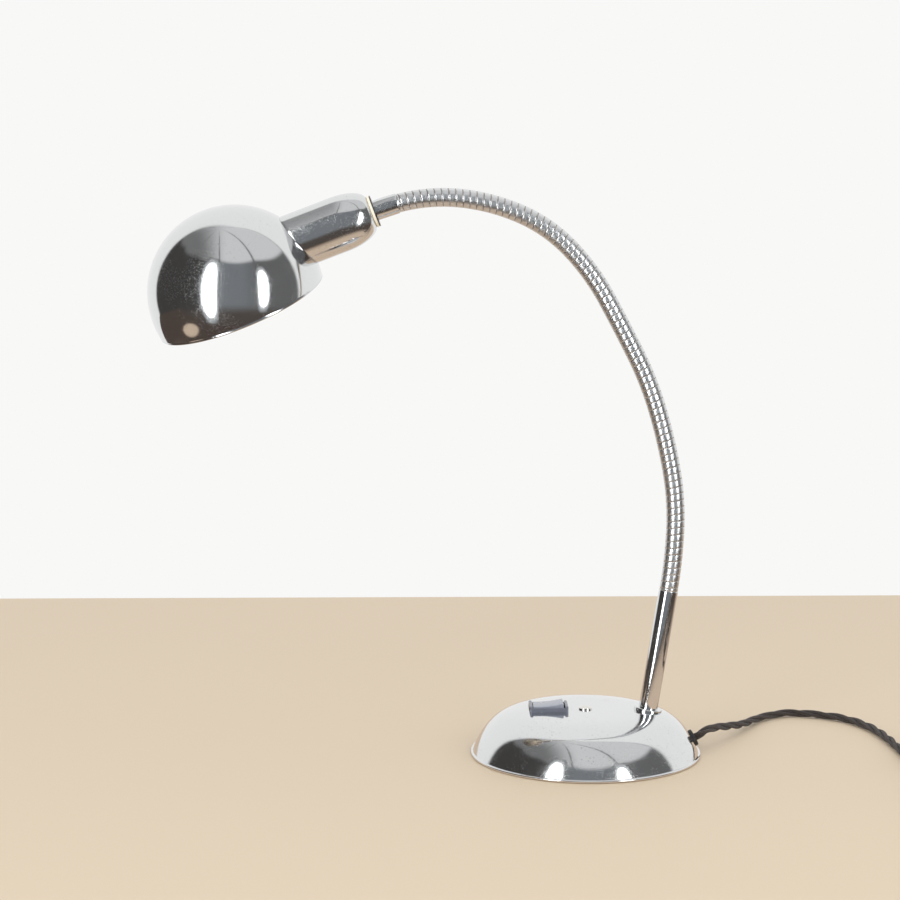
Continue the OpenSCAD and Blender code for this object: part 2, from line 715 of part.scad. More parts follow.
// The shade is turned about its own axis, which lies square to the lampholder's
module shade() {
    color("silver") at_head() {
        difference() {
            translate(shade_centre) rotate([0, 90, 0]) rotate([0, 0, 180])
                rotate_extrude($fn = 128) {
                difference() {
                    circle(r = shade_r);
                    circle(r = shade_r - shade_t);
                    translate([-shade_d, -shade_d]) square([shade_d, 2 * shade_d]);
                    translate([0, -shade_d - rim_drop]) square(shade_d);
                }
                translate([rim_r + bead_out - bead_d / 2, -rim_drop]) circle(d = bead_d);
            }
            cylinder(r = holder_r + 0.4, h = shade_reach);
        }
    }
}

// The ring on the lampholder holds the shade from inside, so its back is cut to the shade
module shade_ring() {
    color("ivory") at_head() intersection() {
        difference() {
            translate([0, 0, holder_z]) cylinder(r = holder_r + ring_w, h = ring_z - holder_z);
            translate([0, 0, holder_z - 1]) cylinder(r = holder_r + fit, h = holder_l);
        }
        translate(shade_centre) sphere(r = shade_r - shade_t - 0.1, $fn = 128);
    }
}

module bulb_cap() {
    r = bulb_cap_d / 2;
    color("gold") at_head() translate([0, 0, cap_z]) {
        difference() {
            translate([0, 0, 1]) cylinder(r = r, h = cap_l - 1);
            translate([0, 0, 2]) cylinder(r = r - 0.4, h = cap_l);
        }
        translate([0, 0, -2]) cylinder(r1 = 4, r2 = 9, h = 3);
    }
}

module bulb_glass() {
    color("white", 0.8) at_head() difference() {
        union() {
            translate([0, 0, globe_z]) sphere(r = globe_r, $fn = 96);
            translate([0, 0, glass_z]) cylinder(r1 = neck_glass_r, r2 = flare_r, h = flare_l);
        }
        translate([0, 0, globe_z]) sphere(r = globe_r - glass_t, $fn = 96);
        translate([0, 0, glass_z - 1])
            cylinder(r1 = neck_glass_r - glass_t, r2 = flare_r - glass_t, h = flare_l + 1);
    }
}

// Flex and its fittings

module at_grommet() {
    translate(exit_point) rotate([0, 0, grommet_turn]) rotate([0, 90 - exit_tilt, 0]) children();
}

// The grommet's two flanges follow the dome, outside and inside
module flex_grommet() {
    color("black") at_grommet() difference() {
        union() {
            difference() {
                translate([0, 0, -2]) {
                    cylinder(r = grommet_r, h = grommet_out + 1.2);
                    translate([0, 0, grommet_out + 1.2])
                        cylinder(r1 = grommet_r, r2 = grommet_r - 1.2, h = 0.8);
                }
                translate([0, 0, fit - seat_r]) sphere(r = seat_r, $fn = 128);
            }
            translate([0, 0, -shell_t - grommet_in])
                cylinder(r = grommet_neck_r, h = shell_t + grommet_in + 1);
            intersection() {
                translate([0, 0, -shell_t - grommet_in])
                    cylinder(r = grommet_neck_r + 1, h = grommet_in + shell_t);
                translate([0, 0, -seat_r]) sphere(r = seat_r - shell_t - 3 * fit, $fn = 128);
            }
        }
        translate([0, 0, -10]) cylinder(r = flex_r + 0.2, h = 20);
    }
}

module terminal_block() {
    color("ivory") translate([block_at.x - block_size.x / 2, block_at.y - block_size.y, pocket_z])
        difference() {
            cube(block_size);
            for (i = [-1, 1]) translate([block_size.x / 2 + i * block_pitch / 2, -1, block_size.z / 2])
                rotate([-90, 0, 0]) cylinder(r = 1.8, h = block_size.y + 2);
        }
}

// A saddle over the flex, screwed down in the weight's pocket
module flex_clamp() {
    top = flex_d + 1.8;
    run = clamp_to - clamp_from;
    mid = (clamp_from + clamp_to) / 2;
    color("gray") translate([mid.x, mid.y, pocket_z]) rotate([0, 0, atan2(run.y, run.x)]) difference() {
        translate([-clamp_l / 2, -clamp_w / 2, 0]) cube([clamp_l, clamp_w, top]);
        translate([-clamp_l, 0, flex_r + 0.2]) rotate([0, 90, 0])
            cylinder(r = flex_r + 0.2, h = 2 * clamp_l);
        translate([-clamp_l, -flex_r - 0.2, -1]) cube([2 * clamp_l, flex_d + 0.4, flex_r + 1.2]);
    }
}

// The flex inside the foot, the lead down from the stem and the two wires of the switch
module base_wiring() {
    low = pocket_z + flex_r + 0.2;
    z = pocket_z + block_size.z / 2;
    y = block_at.y - block_size.y;
    seat = ahead(stem_seat, -lead_down);
    bend = ahead(stem_seat, -lead_down - lead_bend);
    color("saddlebrown") tube([flex_exit, exit_point - 4 * exit_dir, [clamp_from.x, clamp_from.y, low],
        [clamp_to.x, clamp_to.y, low], [clamp_to.x - clamp_l, clamp_to.y - 8, low],
        [block_at.x + block_pitch / 2 + 5, block_at.y + wire_room, low + 1],
        [block_at.x + block_pitch / 2, block_at.y + 6, z],
        [block_at.x + block_pitch / 2, block_at.y + 0.1, z]], flex_r);
    color("dimgray") tube([[seat[0], 0, seat[1]], [bend[0], 0, bend[1]],
        [bend[0] - 2, -4, bend[1] - 4.5], [bend[0] - 4, -13, bend[1] - 7],
        [block_at.x - block_pitch / 2, block_at.y + 9, z],
        [block_at.x - block_pitch / 2, block_at.y + 0.1, z]], inner_flex_r, up = [1, 0, 0]);
    for (i = [-1, 1]) color(i < 0 ? "royalblue" : "saddlebrown") tube([
        [block_at.x + i * block_pitch / 2, y - 0.1, z], [block_at.x + i * block_pitch / 2, y - 3 - i, z],
        [block_at.x + i * 3 - 6, y - 5 - 2 * i, z + 5], [22, y - 4 - 2 * i, weight_top + 1.5],
        [4, y + 4 - 2 * i, weight_top + 1.5], [-10, y + 15 - 2 * i, weight_top + 1.5],
        [switch_x - i * terminal_x, -20, weight_top + 1.4],
        [switch_x - i * terminal_x, -13, terminal_z + 3.6],
        [switch_x - i * terminal_x, -6.5, terminal_z + 2], [switch_x - i * terminal_x, -3.3, terminal_z + 2]],
        0.9, 6);
}

module flex_free() color("#2e2521") tube(flex_route, flex_r);
module flex_coil() color("#2e2521") tube(coil_path, flex_r, coil_sides);
module flex_tail() color("#2e2521")
    tube([coil_exit, coil_exit + flex_r * coil_out_dir, plug_entry - flex_r * coil_out_dir, plug_entry],
        flex_r);

// A flat band round all the turns of the coil, on the side away from the head
module flex_tie() {
    band = 9;
    t = 0.6;
    in_r = min(tie_radii) - flex_r - 0.3 - band * band / 8 / min(tie_radii);
    out_r = max(tie_radii) + flex_r + 0.3;
    top = coil_z + coil_pitch + flex_r + 0.3;
    color("black") translate([coil_centre.x, coil_centre.y, 0]) rotate([0, 0, coil_start - 180])
        translate([0, -band / 2, 0]) difference() {
            translate([in_r - t, 0, 0.05]) cube([out_r - in_r + 2 * t, band, top - 0.05 + t]);
            translate([in_r, -1, 0.05 + t]) cube([out_r - in_r, band + 2, top - 0.05 - t]);
        }
}

module at_plug() {
    translate(plug_entry) rotate([0, 0, coil_start + 360 * coil_turns]) rotate([-90, 0, 0]) children();
}

module plug_body() {
    color("#1c1a19") at_plug() {
        cylinder(r1 = flex_r + 1.2, r2 = flex_r + 3.5, h = relief_l + 1);
        translate([0, 0, relief_l]) difference() {
            hull() {
                for (i = [-1, 1]) translate([i * (plug_w / 2 - 8), 0, 8])
                    cylinder(d = plug_h, h = plug_l - 8, $fn = 32);
                cylinder(d = plug_h - 4, h = 1, $fn = 32);
            }
            for (i = [-1, 1]) translate([i * pin_pitch / 2, 0, plug_l - 12])
                cylinder(r = pin_d / 2 + fit, h = 20);
        }
    }
}

module plug_pins() {
    color("silver") at_plug() for (i = [-1, 1])
        translate([i * pin_pitch / 2, 0, relief_l + plug_l - 12]) {
            cylinder(d = pin_d, h = 12 + pin_l - pin_d / 2);
            translate([0, 0, 12 + pin_l - pin_d / 2]) sphere(d = pin_d);
        }
}

base_shell();
iron_weight();
base_plate();
felt_pad();
tie_screw();
tie_nut();
switch_housing();
switch_rocker();
switch_terminals();
stem_tube();
stem_collar();
stem_bush();
stem_nipple();
stem_washer();
stem_nut();
flex_grommet();
terminal_block();
flex_clamp();
base_wiring();
for (k = [1 : links]) neck_link(k);
for (k = [1 : links]) neck_flex(k);
neck_ferrule();
head_nipple();
steel_washer();
brass_washer();
holder_cup();
holder_cap();
holder_body();
holder_thread();
holder_contacts();
holder_leads();
shade();
shade_ring();
bulb_cap();
bulb_glass();
flex_free();
flex_coil();
flex_tail();
flex_tie();
plug_body();
plug_pins();
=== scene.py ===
"""A chrome desk lamp, dressed over its CAD frame: a domed foot with a rocker switch, a leaning
stem, a ribbed flexible neck, a lampholder cup, a ball shade and a twisted flex. Shapes are
worked out in millimetres and stored in metres, in the CAD frame."""

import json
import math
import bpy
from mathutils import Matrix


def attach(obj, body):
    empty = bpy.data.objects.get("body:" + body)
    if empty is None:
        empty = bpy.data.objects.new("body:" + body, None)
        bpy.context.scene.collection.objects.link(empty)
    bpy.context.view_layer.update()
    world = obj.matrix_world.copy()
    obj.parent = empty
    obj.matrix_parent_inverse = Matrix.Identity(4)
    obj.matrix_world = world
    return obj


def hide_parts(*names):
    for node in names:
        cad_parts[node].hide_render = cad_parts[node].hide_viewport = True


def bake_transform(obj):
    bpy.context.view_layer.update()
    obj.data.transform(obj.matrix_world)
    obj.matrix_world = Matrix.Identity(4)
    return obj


bl_info = {
    "name": "Chrome desk lamp",
    "version": (1, 0, 0),
    "blender": (4, 5, 0),
    "location": "3D View > Sidebar > Lamp",
    "description": "Builds a desk lamp with a flexible neck over its CAD frame",
    "category": "Object",
}

import bpy
import numpy as np
from mathutils import Matrix

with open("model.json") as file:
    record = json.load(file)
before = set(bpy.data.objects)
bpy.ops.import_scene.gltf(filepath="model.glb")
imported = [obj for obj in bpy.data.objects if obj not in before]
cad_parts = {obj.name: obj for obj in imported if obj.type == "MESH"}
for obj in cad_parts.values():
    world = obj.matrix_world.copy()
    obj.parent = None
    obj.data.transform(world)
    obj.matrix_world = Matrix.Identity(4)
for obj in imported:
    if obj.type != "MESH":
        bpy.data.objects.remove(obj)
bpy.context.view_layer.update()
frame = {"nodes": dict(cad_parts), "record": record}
MM = 0.001
FOOT = "foot_and_stem"

# Sizes that repeat the CAD source, in millimetres

FOOT_H, DOME_R, DOME_RISE, DOME_POWER, PROUD = 35.0, 89.1, 34.4, 6.4, 0.6
STEM_X, STEM_ANGLE, STEM_LEN, STEM_R = 49.0, 80.8, 96.0, 7.5
NECK_R, LINK, TURNS = 7.2, 47.4, (7, 12.5, 6.5, 10, 2, 15, 23, 17.5, 20.5)
FERRULE, FERRULE_TURN, HEAD_ROLL = 18.0, 5.8, 14.0
SHADE_R, SHADE_T, SHADE_C, RIM = 67.5, 0.9, (-21.0, 0.0, 122.5), 10.8
HOLDER_R, RING_R, RING_LIP = 19.2, 24.7, 2.6
SWITCH_X, SWITCH_L, SWITCH_W = -29.0, 30.3, 22.0
GROMMET_Z, GROMMET_TURN, GROMMET_FACE = 10.0, 3.0, 2.45
PLUG_Z, PLUG_GAP = 10.35, 22
FLEX_D, COIL_C, COIL_START, COIL_TURNS, COIL_R = 6.5, (300.0, -45.0), 200.0, 6, 48.5
FLEX_POINTS = [
    (98, 10, 15.5), (103, 18, 14.6), (109, 27, 13), (116, 37, 11), (124, 49, 8.7), (132, 61, 6.5),
    (141, 76, 5), (150, 90, 4), (158, 99, 3.5), (167, 106, 3.5), (176, 110, 3.5), (185, 111, 3.5),
    (196, 108, 3.5), (209, 102, 3.5), (222, 92, 3.5), (232, 77, 3.5), (239, 58, 3.5),
    (243, 36, 3.5), (245, 14, 3.5), (246, -8, 3.6), (247, -30, 3.8)]


def turn(axis, degrees):
    return np.array(Matrix.Rotation(math.radians(degrees), 4, axis))


def move(x, y, z):
    return np.array(Matrix.Translation((x, y, z)))


def dome_z(r):
    """Height of the dome: rise * (1 - (r / radius) ^ power)."""
    return PROUD + DOME_RISE * (1 - (r / DOME_R) ** DOME_POWER)


EXIT_R = DOME_R * (1 - (GROMMET_Z - PROUD) / DOME_RISE) ** (1 / DOME_POWER)
EXIT_SLOPE = math.degrees(math.atan(
    DOME_RISE * DOME_POWER / DOME_R * (EXIT_R / DOME_R) ** (DOME_POWER - 1)))
STEM = move(STEM_X, 0, dome_z(STEM_X)) @ turn("Y", 90 - STEM_ANGLE)
EXIT = turn("Z", GROMMET_TURN) @ move(EXIT_R, 0, GROMMET_Z) @ turn("Y", EXIT_SLOPE)
COIL_DIR = np.array([-math.sin(math.radians(COIL_START)), math.cos(math.radians(COIL_START)), 0])


def coil_points():
    """The coil: radius 27.5 + 7 * |t - 3| after t turns, climbing one layer about t = 3."""
    t = np.arange(24 * COIL_TURNS + 1) / 24
    half = COIL_TURNS / 2
    r = COIL_R - (FLEX_D + 0.5) * (half - np.abs(t - half))
    a = np.radians(COIL_START + 360 * t)
    z = FLEX_D / 2 + 0.75 + (FLEX_D + 0.5) * np.clip(2 * (t - half) + 0.5, 0, 1)
    return np.stack([COIL_C[0] + r * np.cos(a), COIL_C[1] + r * np.sin(a), z], 1)


COIL = coil_points()
COIL_IN, COIL_OUT = COIL[0] - FLEX_D * COIL_DIR, COIL[-1] + FLEX_D * COIL_DIR
PLUG_AT = np.array([*COIL_OUT[:2], PLUG_Z]) + PLUG_GAP * COIL_DIR
PLUG = move(*PLUG_AT) @ turn("Z", COIL_START) @ turn("X", -90)
FLEX_EXIT = (EXIT @ [0, 0, GROMMET_FACE, 1])[:3]
FLEX_PATH = np.vstack([
    FLEX_EXIT, FLEX_EXIT + FLEX_D * EXIT[:3, 2], np.array(FLEX_POINTS, float),
    COIL_IN - FLEX_D * COIL_DIR, COIL_IN, COIL, COIL_OUT, COIL_OUT + FLEX_D / 2 * COIL_DIR,
    PLUG_AT - FLEX_D / 2 * COIL_DIR, PLUG_AT])


def section(s):
    """Middle and heading of the neck at each length s: straight before it, an arc in each
    link, then the ferrule's arc."""
    s = np.asarray(s, float)
    x, z, h = STEM_X, float(dome_z(STEM_X)), STEM_ANGLE
    a = math.radians(h)
    x, z = x + STEM_LEN * math.cos(a), z + STEM_LEN * math.sin(a)
    out = np.empty(s.shape + (3,))
    before = np.minimum(s, 0)
    out[..., 0], out[..., 1], out[..., 2] = x + before * math.cos(a), z + before * math.sin(a), h
    runs = [(LINK, t) for t in TURNS] + [(FERRULE, FERRULE_TURN)]
    start = 0.0
    for length, bend in runs:
        d = np.minimum(s - start, length)
        r, h0 = length / math.radians(bend), math.radians(h)
        h1 = h0 + d / r
        arc = np.stack([x + r * (np.sin(h1) - math.sin(h0)), z - r * (np.cos(h1) - math.cos(h0)),
                        np.degrees(h1)], -1)
        out = np.where((s > start)[..., None], arc, out)
        h += bend
        x, z = (x + r * (math.sin(math.radians(h)) - math.sin(h0)),
                z - r * (math.cos(math.radians(h)) - math.cos(h0)))
        start += length
    return out


def on_neck(s, r, f):
    """Points at length s, radius r and angle f about the neck."""
    c = section(s)
    h = np.radians(c[..., 2])
    return np.stack([c[..., 0] - r * np.sin(f) * np.sin(h), r * np.cos(f),
                     c[..., 1] + r * np.sin(f) * np.cos(h)], -1)


HEAD_X, HEAD_Z, HEADING = section(np.array([9 * LINK + FERRULE]))[0]
HEAD = move(HEAD_X, 0, HEAD_Z) @ turn("Y", 90 - HEADING) @ turn("Z", -HEAD_ROLL)
RING_TOP = SHADE_C[2] + RING_LIP - math.sqrt((SHADE_R - SHADE_T) ** 2
                                             - (SHADE_C[0] - RING_R) ** 2)


# Meshes

def ring_faces(m, n, loop=False):
    """Quads between m rings of n points; the outside is to the right of the way along them."""
    i, j = np.arange(m if loop else m - 1)[:, None], np.arange(n)[None, :]
    low, high, nxt = i * n, (i + 1) % m * n, (j + 1) % n
    return np.stack([low + j, low + nxt, high + nxt, high + j], -1).reshape(-1, 4)


def skin(rings, loop=False, caps=(True, True)):
    """Vertices and faces over rings (m, n, 3). An end ring of no size becomes a pole, and
    an end with a cap is closed by a fan about its middle."""
    rings = np.asarray(rings, float)
    poles = [None, None]
    if not loop:
        for e, k in ((0, 0), (1, -1)):
            if np.ptp(rings[k], axis=0).max() < 1e-6:
                poles[e] = rings[k].mean(0)
                rings = rings[1:] if e == 0 else rings[:-1]
            elif caps[e]:
                poles[e] = rings[k].mean(0)
    m, n = rings.shape[:2]
    verts, faces = [rings.reshape(-1, 3)], [ring_faces(m, n, loop)]
    j, count = np.arange(n), m * n
    for e, pole in enumerate(poles):
        if pole is not None:
            base = 0 if e == 0 else (m - 1) * n
            a, b = (j + 1) % n + base, j + base
            faces.append(np.stack([a, b, np.full(n, count)] if e == 0
                                  else [b, a, np.full(n, count)], 1))
            verts.append(pole[None])
            count += 1
    return np.vstack(verts), faces


def lathe(profile, n=96, loop=False):
    """A profile of (radius, height) turned about local Z."""
    p = np.asarray(profile, float)
    a = np.arange(n) * 2 * np.pi / n
    return skin(np.stack([p[:, :1] * np.cos(a), p[:, :1] * np.sin(a),
                          np.repeat(p[:, 1:], n, 1)], -1), loop)


def rounded(corners, loop=False, steps=6):
    """A line through corners (x, y, radius), whose corners are arcs. A point beside each end
    of an arc keeps the flats flat."""
    out, n = [], len(corners)
    for i, (x, y, r) in enumerate(corners):
        p = np.array([x, y], float)
        if r == 0 or (not loop and i in (0, n - 1)):
            out.append(p)
            continue
        u = np.array(corners[i - 1][:2], float) - p
        v = np.array(corners[(i + 1) % n][:2], float) - p
        u, v = u / np.linalg.norm(u), v / np.linalg.norm(v)
        half = math.acos(float(np.clip(u @ v, -1, 1))) / 2
        t, mid = r / math.tan(half), (u + v) / np.linalg.norm(u + v)
        c = p + mid * r / math.sin(half)
        a, b = (p + u * t - c), (p + v * t - c)
        full = math.acos(float(np.clip(a @ b / r / r, -1, 1)))
        k = np.linspace(0, 1, steps + 1)[:, None]
        arc = (np.sin((1 - k) * full) * a + np.sin(k * full) * b) / math.sin(full)
        out += [p + u * t * 1.3, *(c + arc), p + v * t * 1.3]
    return np.array(out)


def outline(length, width, r, steps=6):
    """A rounded rectangle about the origin, anticlockwise."""
    k = np.linspace(0, np.pi / 2, steps + 1)
    pts = []
    for q, (i, j) in enumerate(((1, 1), (-1, 1), (-1, -1), (1, -1))):
        a = k + q * np.pi / 2
        pts.append(np.stack([i * (length / 2 - r) + r * np.cos(a),
                             j * (width / 2 - r) + r * np.sin(a)], 1))
    return np.vstack(pts)


def loft(sections):
    """Rings from (outline points, height) pairs."""
    return np.stack([np.column_stack([p, np.full(len(p), float(z))]) for p, z in sections])


def soft_box(x, length, width, z0, z1, r, edge):
    """A block with round upright corners r and a round top edge, its middle at x."""
    rows = [(outline(length, width, r), z) for z in (z0, z1 - 1.3 * edge)]
    for a in np.linspace(0, np.pi / 2, 5):
        d = edge * (1 - math.cos(a))
        rows.append((outline(length - 2 * d, width - 2 * d, max(r - d, 0.05)),
                     z1 - edge * (1 - math.sin(a))))
    inset = 2 * edge + 0.2
    rows.append((outline(length - inset, width - inset, max(r - edge, 0.05)), z1))
    v, f = skin(loft(rows))
    return v + [x, 0, 0], f


def joined(*parts):
    verts, faces, at = [], [], 0
    for v, f in parts:
        verts.append(v)
        faces += [x + at for x in f]
        at += len(v)
    return np.vstack(verts), faces


def unit(v):
    return v / np.linalg.norm(v, axis=-1, keepdims=True)


def add_object(name, data):
    obj = bpy.data.objects.new(name, data)
    bpy.context.scene.collection.objects.link(obj)
    return obj


def aimed(x, y, z, *turns):
    """The place of a camera or light: moved to a point, after turns in degrees about axes."""
    place = Matrix.Translation((x, y, z))
    for degrees, axis in turns:
        place = place @ Matrix.Rotation(math.radians(degrees), 4, axis)
    return place


def piece(name, shape, body, slot, replaces, at=None, mats=None, sharp=38, uv=None, extra=None):
    """Its material is the one of its slot, unless others are named."""
    co, faces = shape
    if at is not None:
        co = co @ at[:3, :3].T + at[:3, 3]
    mesh = bpy.data.meshes.new(name)
    sizes = np.concatenate([np.full(len(f), f.shape[1]) for f in faces])
    corners = np.concatenate([f.ravel() for f in faces]).astype(np.int32)
    starts = np.concatenate([[0], np.cumsum(sizes)[:-1]]).astype(np.int32)
    mesh.vertices.add(len(co))
    mesh.vertices.foreach_set("co", (co * MM).astype(np.float32).ravel())
    mesh.loops.add(len(corners))
    mesh.loops.foreach_set("vertex_index", corners)
    mesh.polygons.add(len(sizes))
    mesh.polygons.foreach_set("loop_start", starts)
    if uv is not None:
        full = np.zeros((len(corners), 2), np.float32)
        full[:len(uv)] = uv
        mesh.uv_layers.new(name="UVMap").uv.foreach_set("vector", full.ravel())
    mesh.update(calc_edges=True)
    if mesh.validate():
        raise ValueError(f"{name} has bad faces")
    mesh.polygons.foreach_set("use_smooth", np.ones(len(sizes), bool))
    if sharp:
        mesh.set_sharp_from_angle(angle=math.radians(sharp))
    for m in mats or [slot]:
        mesh.materials.append(MATERIALS[m])
    if extra:
        extra(mesh)
    obj = add_object(name, mesh)
    if isinstance(body, str):
        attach(obj, body)
    else:
        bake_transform(obj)
    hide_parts(*replaces)
    return obj


# Materials

MATERIALS = {}


class Graph:
    """Puts nodes in one tree. An input is a socket to link or a value to set."""

    def __init__(self, tree):
        self.tree = tree

    def link(self, a, b):
        self.tree.links.new(a, b)

    def put(self, kind, inputs=None, **values):
        n = self.tree.nodes.new("ShaderNode" + kind)
        for k, v in values.items():
            setattr(n, k, v)
        for k, v in (inputs or {}).items():
            if isinstance(v, bpy.types.NodeSocket):
                self.link(v, n.inputs[k])
            else:
                n.inputs[k].default_value = v
        return n

    def place(self):
        return self.put("TexCoord").outputs["Object"]

    def axes(self, vector):
        return self.put("SeparateXYZ", {0: vector}).outputs

    def maths(self, operation, a, b=0.0, c=0.0, clamp=False):
        return self.put("Math", {0: a, 1: b, 2: c}, operation=operation,
                        use_clamp=clamp).outputs[0]

    def add(self, a, b, clamp=False):
        return self.maths("ADD", a, b, clamp=clamp)

    def mul(self, a, b):
        return self.maths("MULTIPLY", a, b)

    def humps(self, v):
        return self.maths("ABSOLUTE", self.maths("SINE", v))

    def ramp(self, value, low, high, to_low=0.0, to_high=1.0):
        return self.put("MapRange", {0: value, 1: low, 2: high, 3: to_low, 4: to_high},
                        interpolation_type="SMOOTHSTEP").outputs[0]

    def mixed(self, factor, a, b):
        return self.put("Mix", {0: factor, 6: a, 7: b}, data_type="RGBA").outputs[2]

    def shaders(self, factor, a, b):
        return self.put("MixShader", {0: factor, 1: a, 2: b}).outputs[0]

    def noise(self, where, scale, detail=3.0, roughness=0.6):
        return self.put("TexNoise", {"Vector": where, "Scale": scale, "Detail": detail,
                                     "Roughness": roughness}).outputs[0]


def rgba(value):
    return (*value, 1.0) if isinstance(value, tuple) else value


def new_group(name, **inputs):
    """A node group with named inputs, that puts out a colour, a roughness and a height."""
    tree = bpy.data.node_groups.new(name, "ShaderNodeTree")
    for label, value in inputs.items():
        kind = "NodeSocketColor" if isinstance(value, tuple) else "NodeSocketFloat"
        socket = tree.interface.new_socket(label, in_out="INPUT", socket_type=kind)
        socket.default_value = rgba(value)
    for label, kind in (("Colour", "Color"), ("Roughness", "Float"), ("Height", "Float")):
        tree.interface.new_socket(label, in_out="OUTPUT", socket_type="NodeSocket" + kind)
    return Graph(tree), tree.nodes.new("NodeGroupInput").outputs


def put_out(t, colour, roughness, height):
    ends = t.tree.nodes.new("NodeGroupOutput").inputs
    for end, value in zip(ends, (colour, roughness, height)):
        t.link(value, end)
    return t.tree


def plate_group():
    """Plated or polished metal: soft smudges, fine haze and small pits."""
    t, i = new_group("Worn plate", Colour=(0.8, 0.8, 0.8), Stain=(0.3, 0.27, 0.24), Polish=0.03,
                     Haze=0.1, Pits=0.5)
    where = t.place()
    smudge = t.ramp(t.noise(where, 26.0, 4.0), 0.4, 0.7)
    fine = t.ramp(t.noise(where, 1900.0, 2.0, 0.5), 0.45, 0.75)
    spots = t.mul(t.ramp(t.noise(where, 700.0, 2.0), 0.64, 0.7),
                  t.ramp(t.noise(where, 45.0, 2.0), 0.42, 0.6))
    pits = t.mul(spots, i["Pits"])
    haze = t.mul(t.mul(i["Haze"], fine), t.maths("MULTIPLY_ADD", smudge, 0.6, 0.5))
    return put_out(t, t.mixed(pits, i["Colour"], i["Stain"]),
                   t.add(t.add(haze, i["Polish"]), t.mul(pits, 0.3), clamp=True),
                   t.maths("SUBTRACT", t.mul(fine, 0.1), pits))


def moulded_group():
    """Moulded plastic or rubber: a slight bloom of colour and a fine skin."""
    t, i = new_group("Moulded", Colour=(0.1, 0.1, 0.1), Bloom=(0.2, 0.2, 0.2), Gloss=0.3)
    where = t.place()
    cloud = t.ramp(t.noise(where, 90.0, 5.0), 0.4, 0.75)
    return put_out(t, t.mixed(t.mul(cloud, 0.35), i["Colour"], i["Bloom"]),
                   t.add(i["Gloss"], t.mul(cloud, 0.12), clamp=True),
                   t.noise(where, 2600.0, 3.0, 0.7))


def braid_group():
    """Cotton braid on a strand: two sets of slanting yarns, from UV (turn, length in mm), with
    painted shade down the yarns' edges and between them.
    """
    t, i = new_group("Braid", Yarn=(0.04, 0.03, 0.03), Gap=(0.01, 0.01, 0.01))
    around, along, _ = t.axes(t.put("UVMap").outputs[0])
    u, v = t.mul(around, 8.0), t.mul(along, 1.1)
    rising, falling = [t.humps(t.mul(t.maths("MULTIPLY_ADD", u, sign, v), math.pi))
                       for sign in (1.0, -1.0)]
    over = t.maths("GREATER_THAN", t.maths("SINE", t.mul(t.add(u, v), math.pi)), 0.0)
    height = t.add(t.mul(over, rising), t.mul(t.maths("SUBTRACT", 1.0, over), falling))
    fuzz = t.noise(t.place(), 2200.0)
    # Painted shade: the colour goes to the gap colour where the top yarn's height is low
    shade = t.mul(height, t.ramp(fuzz, 0.2, 0.8, 0.5, 1.0))
    return put_out(t, t.mixed(shade, i["Gap"], i["Yarn"]),
                   t.maths("SUBTRACT", 0.95, t.mul(shade, 0.25)),
                   t.maths("MULTIPLY_ADD", fuzz, 0.3, height))


def fibre_group():
    """Felt: short fibres that lie every way."""
    t, i = new_group("Fibre", Colour=(0.03, 0.05, 0.03), Light=(0.09, 0.12, 0.08))
    where = t.place()
    swirl = t.put("TexNoise", {"Vector": where, "Scale": 300.0}).outputs[1]
    bent = t.put("VectorMath", {0: where, 1: swirl}, operation="ADD").outputs[0]
    fibre = t.noise(bent, 900.0, 6.0, 0.75)
    return put_out(t, t.mixed(t.ramp(fibre, 0.35, 0.7), i["Colour"], i["Light"]),
                   t.ramp(fibre, 0.2, 0.8, 0.85, 1.0), fibre)


def new_material(name):
    mat = bpy.data.materials.new(name)
    mat.use_nodes = True
    return mat, Graph(mat.node_tree)


def material(name, group, inputs, bump, distance, **settings):
    """A Principled material whose colour, roughness and bump come from a shared group."""
    MATERIALS[name], t = new_material(name)
    shader = t.tree.nodes["Principled BSDF"].inputs
    g = t.put("Group", node_tree=group)
    for k, v in inputs.items():
        g.inputs[k].default_value = rgba(v)
    t.link(g.outputs["Colour"], shader["Base Color"])
    t.link(g.outputs["Roughness"], shader["Roughness"])
    b = t.put("Bump", {"Height": g.outputs["Height"], "Strength": bump, "Distance": distance})
    t.link(b.outputs[0], shader["Normal"])
    for k, v in settings.items():
        shader[k.replace("_", " ")].default_value = v
    return t, shader, g.outputs


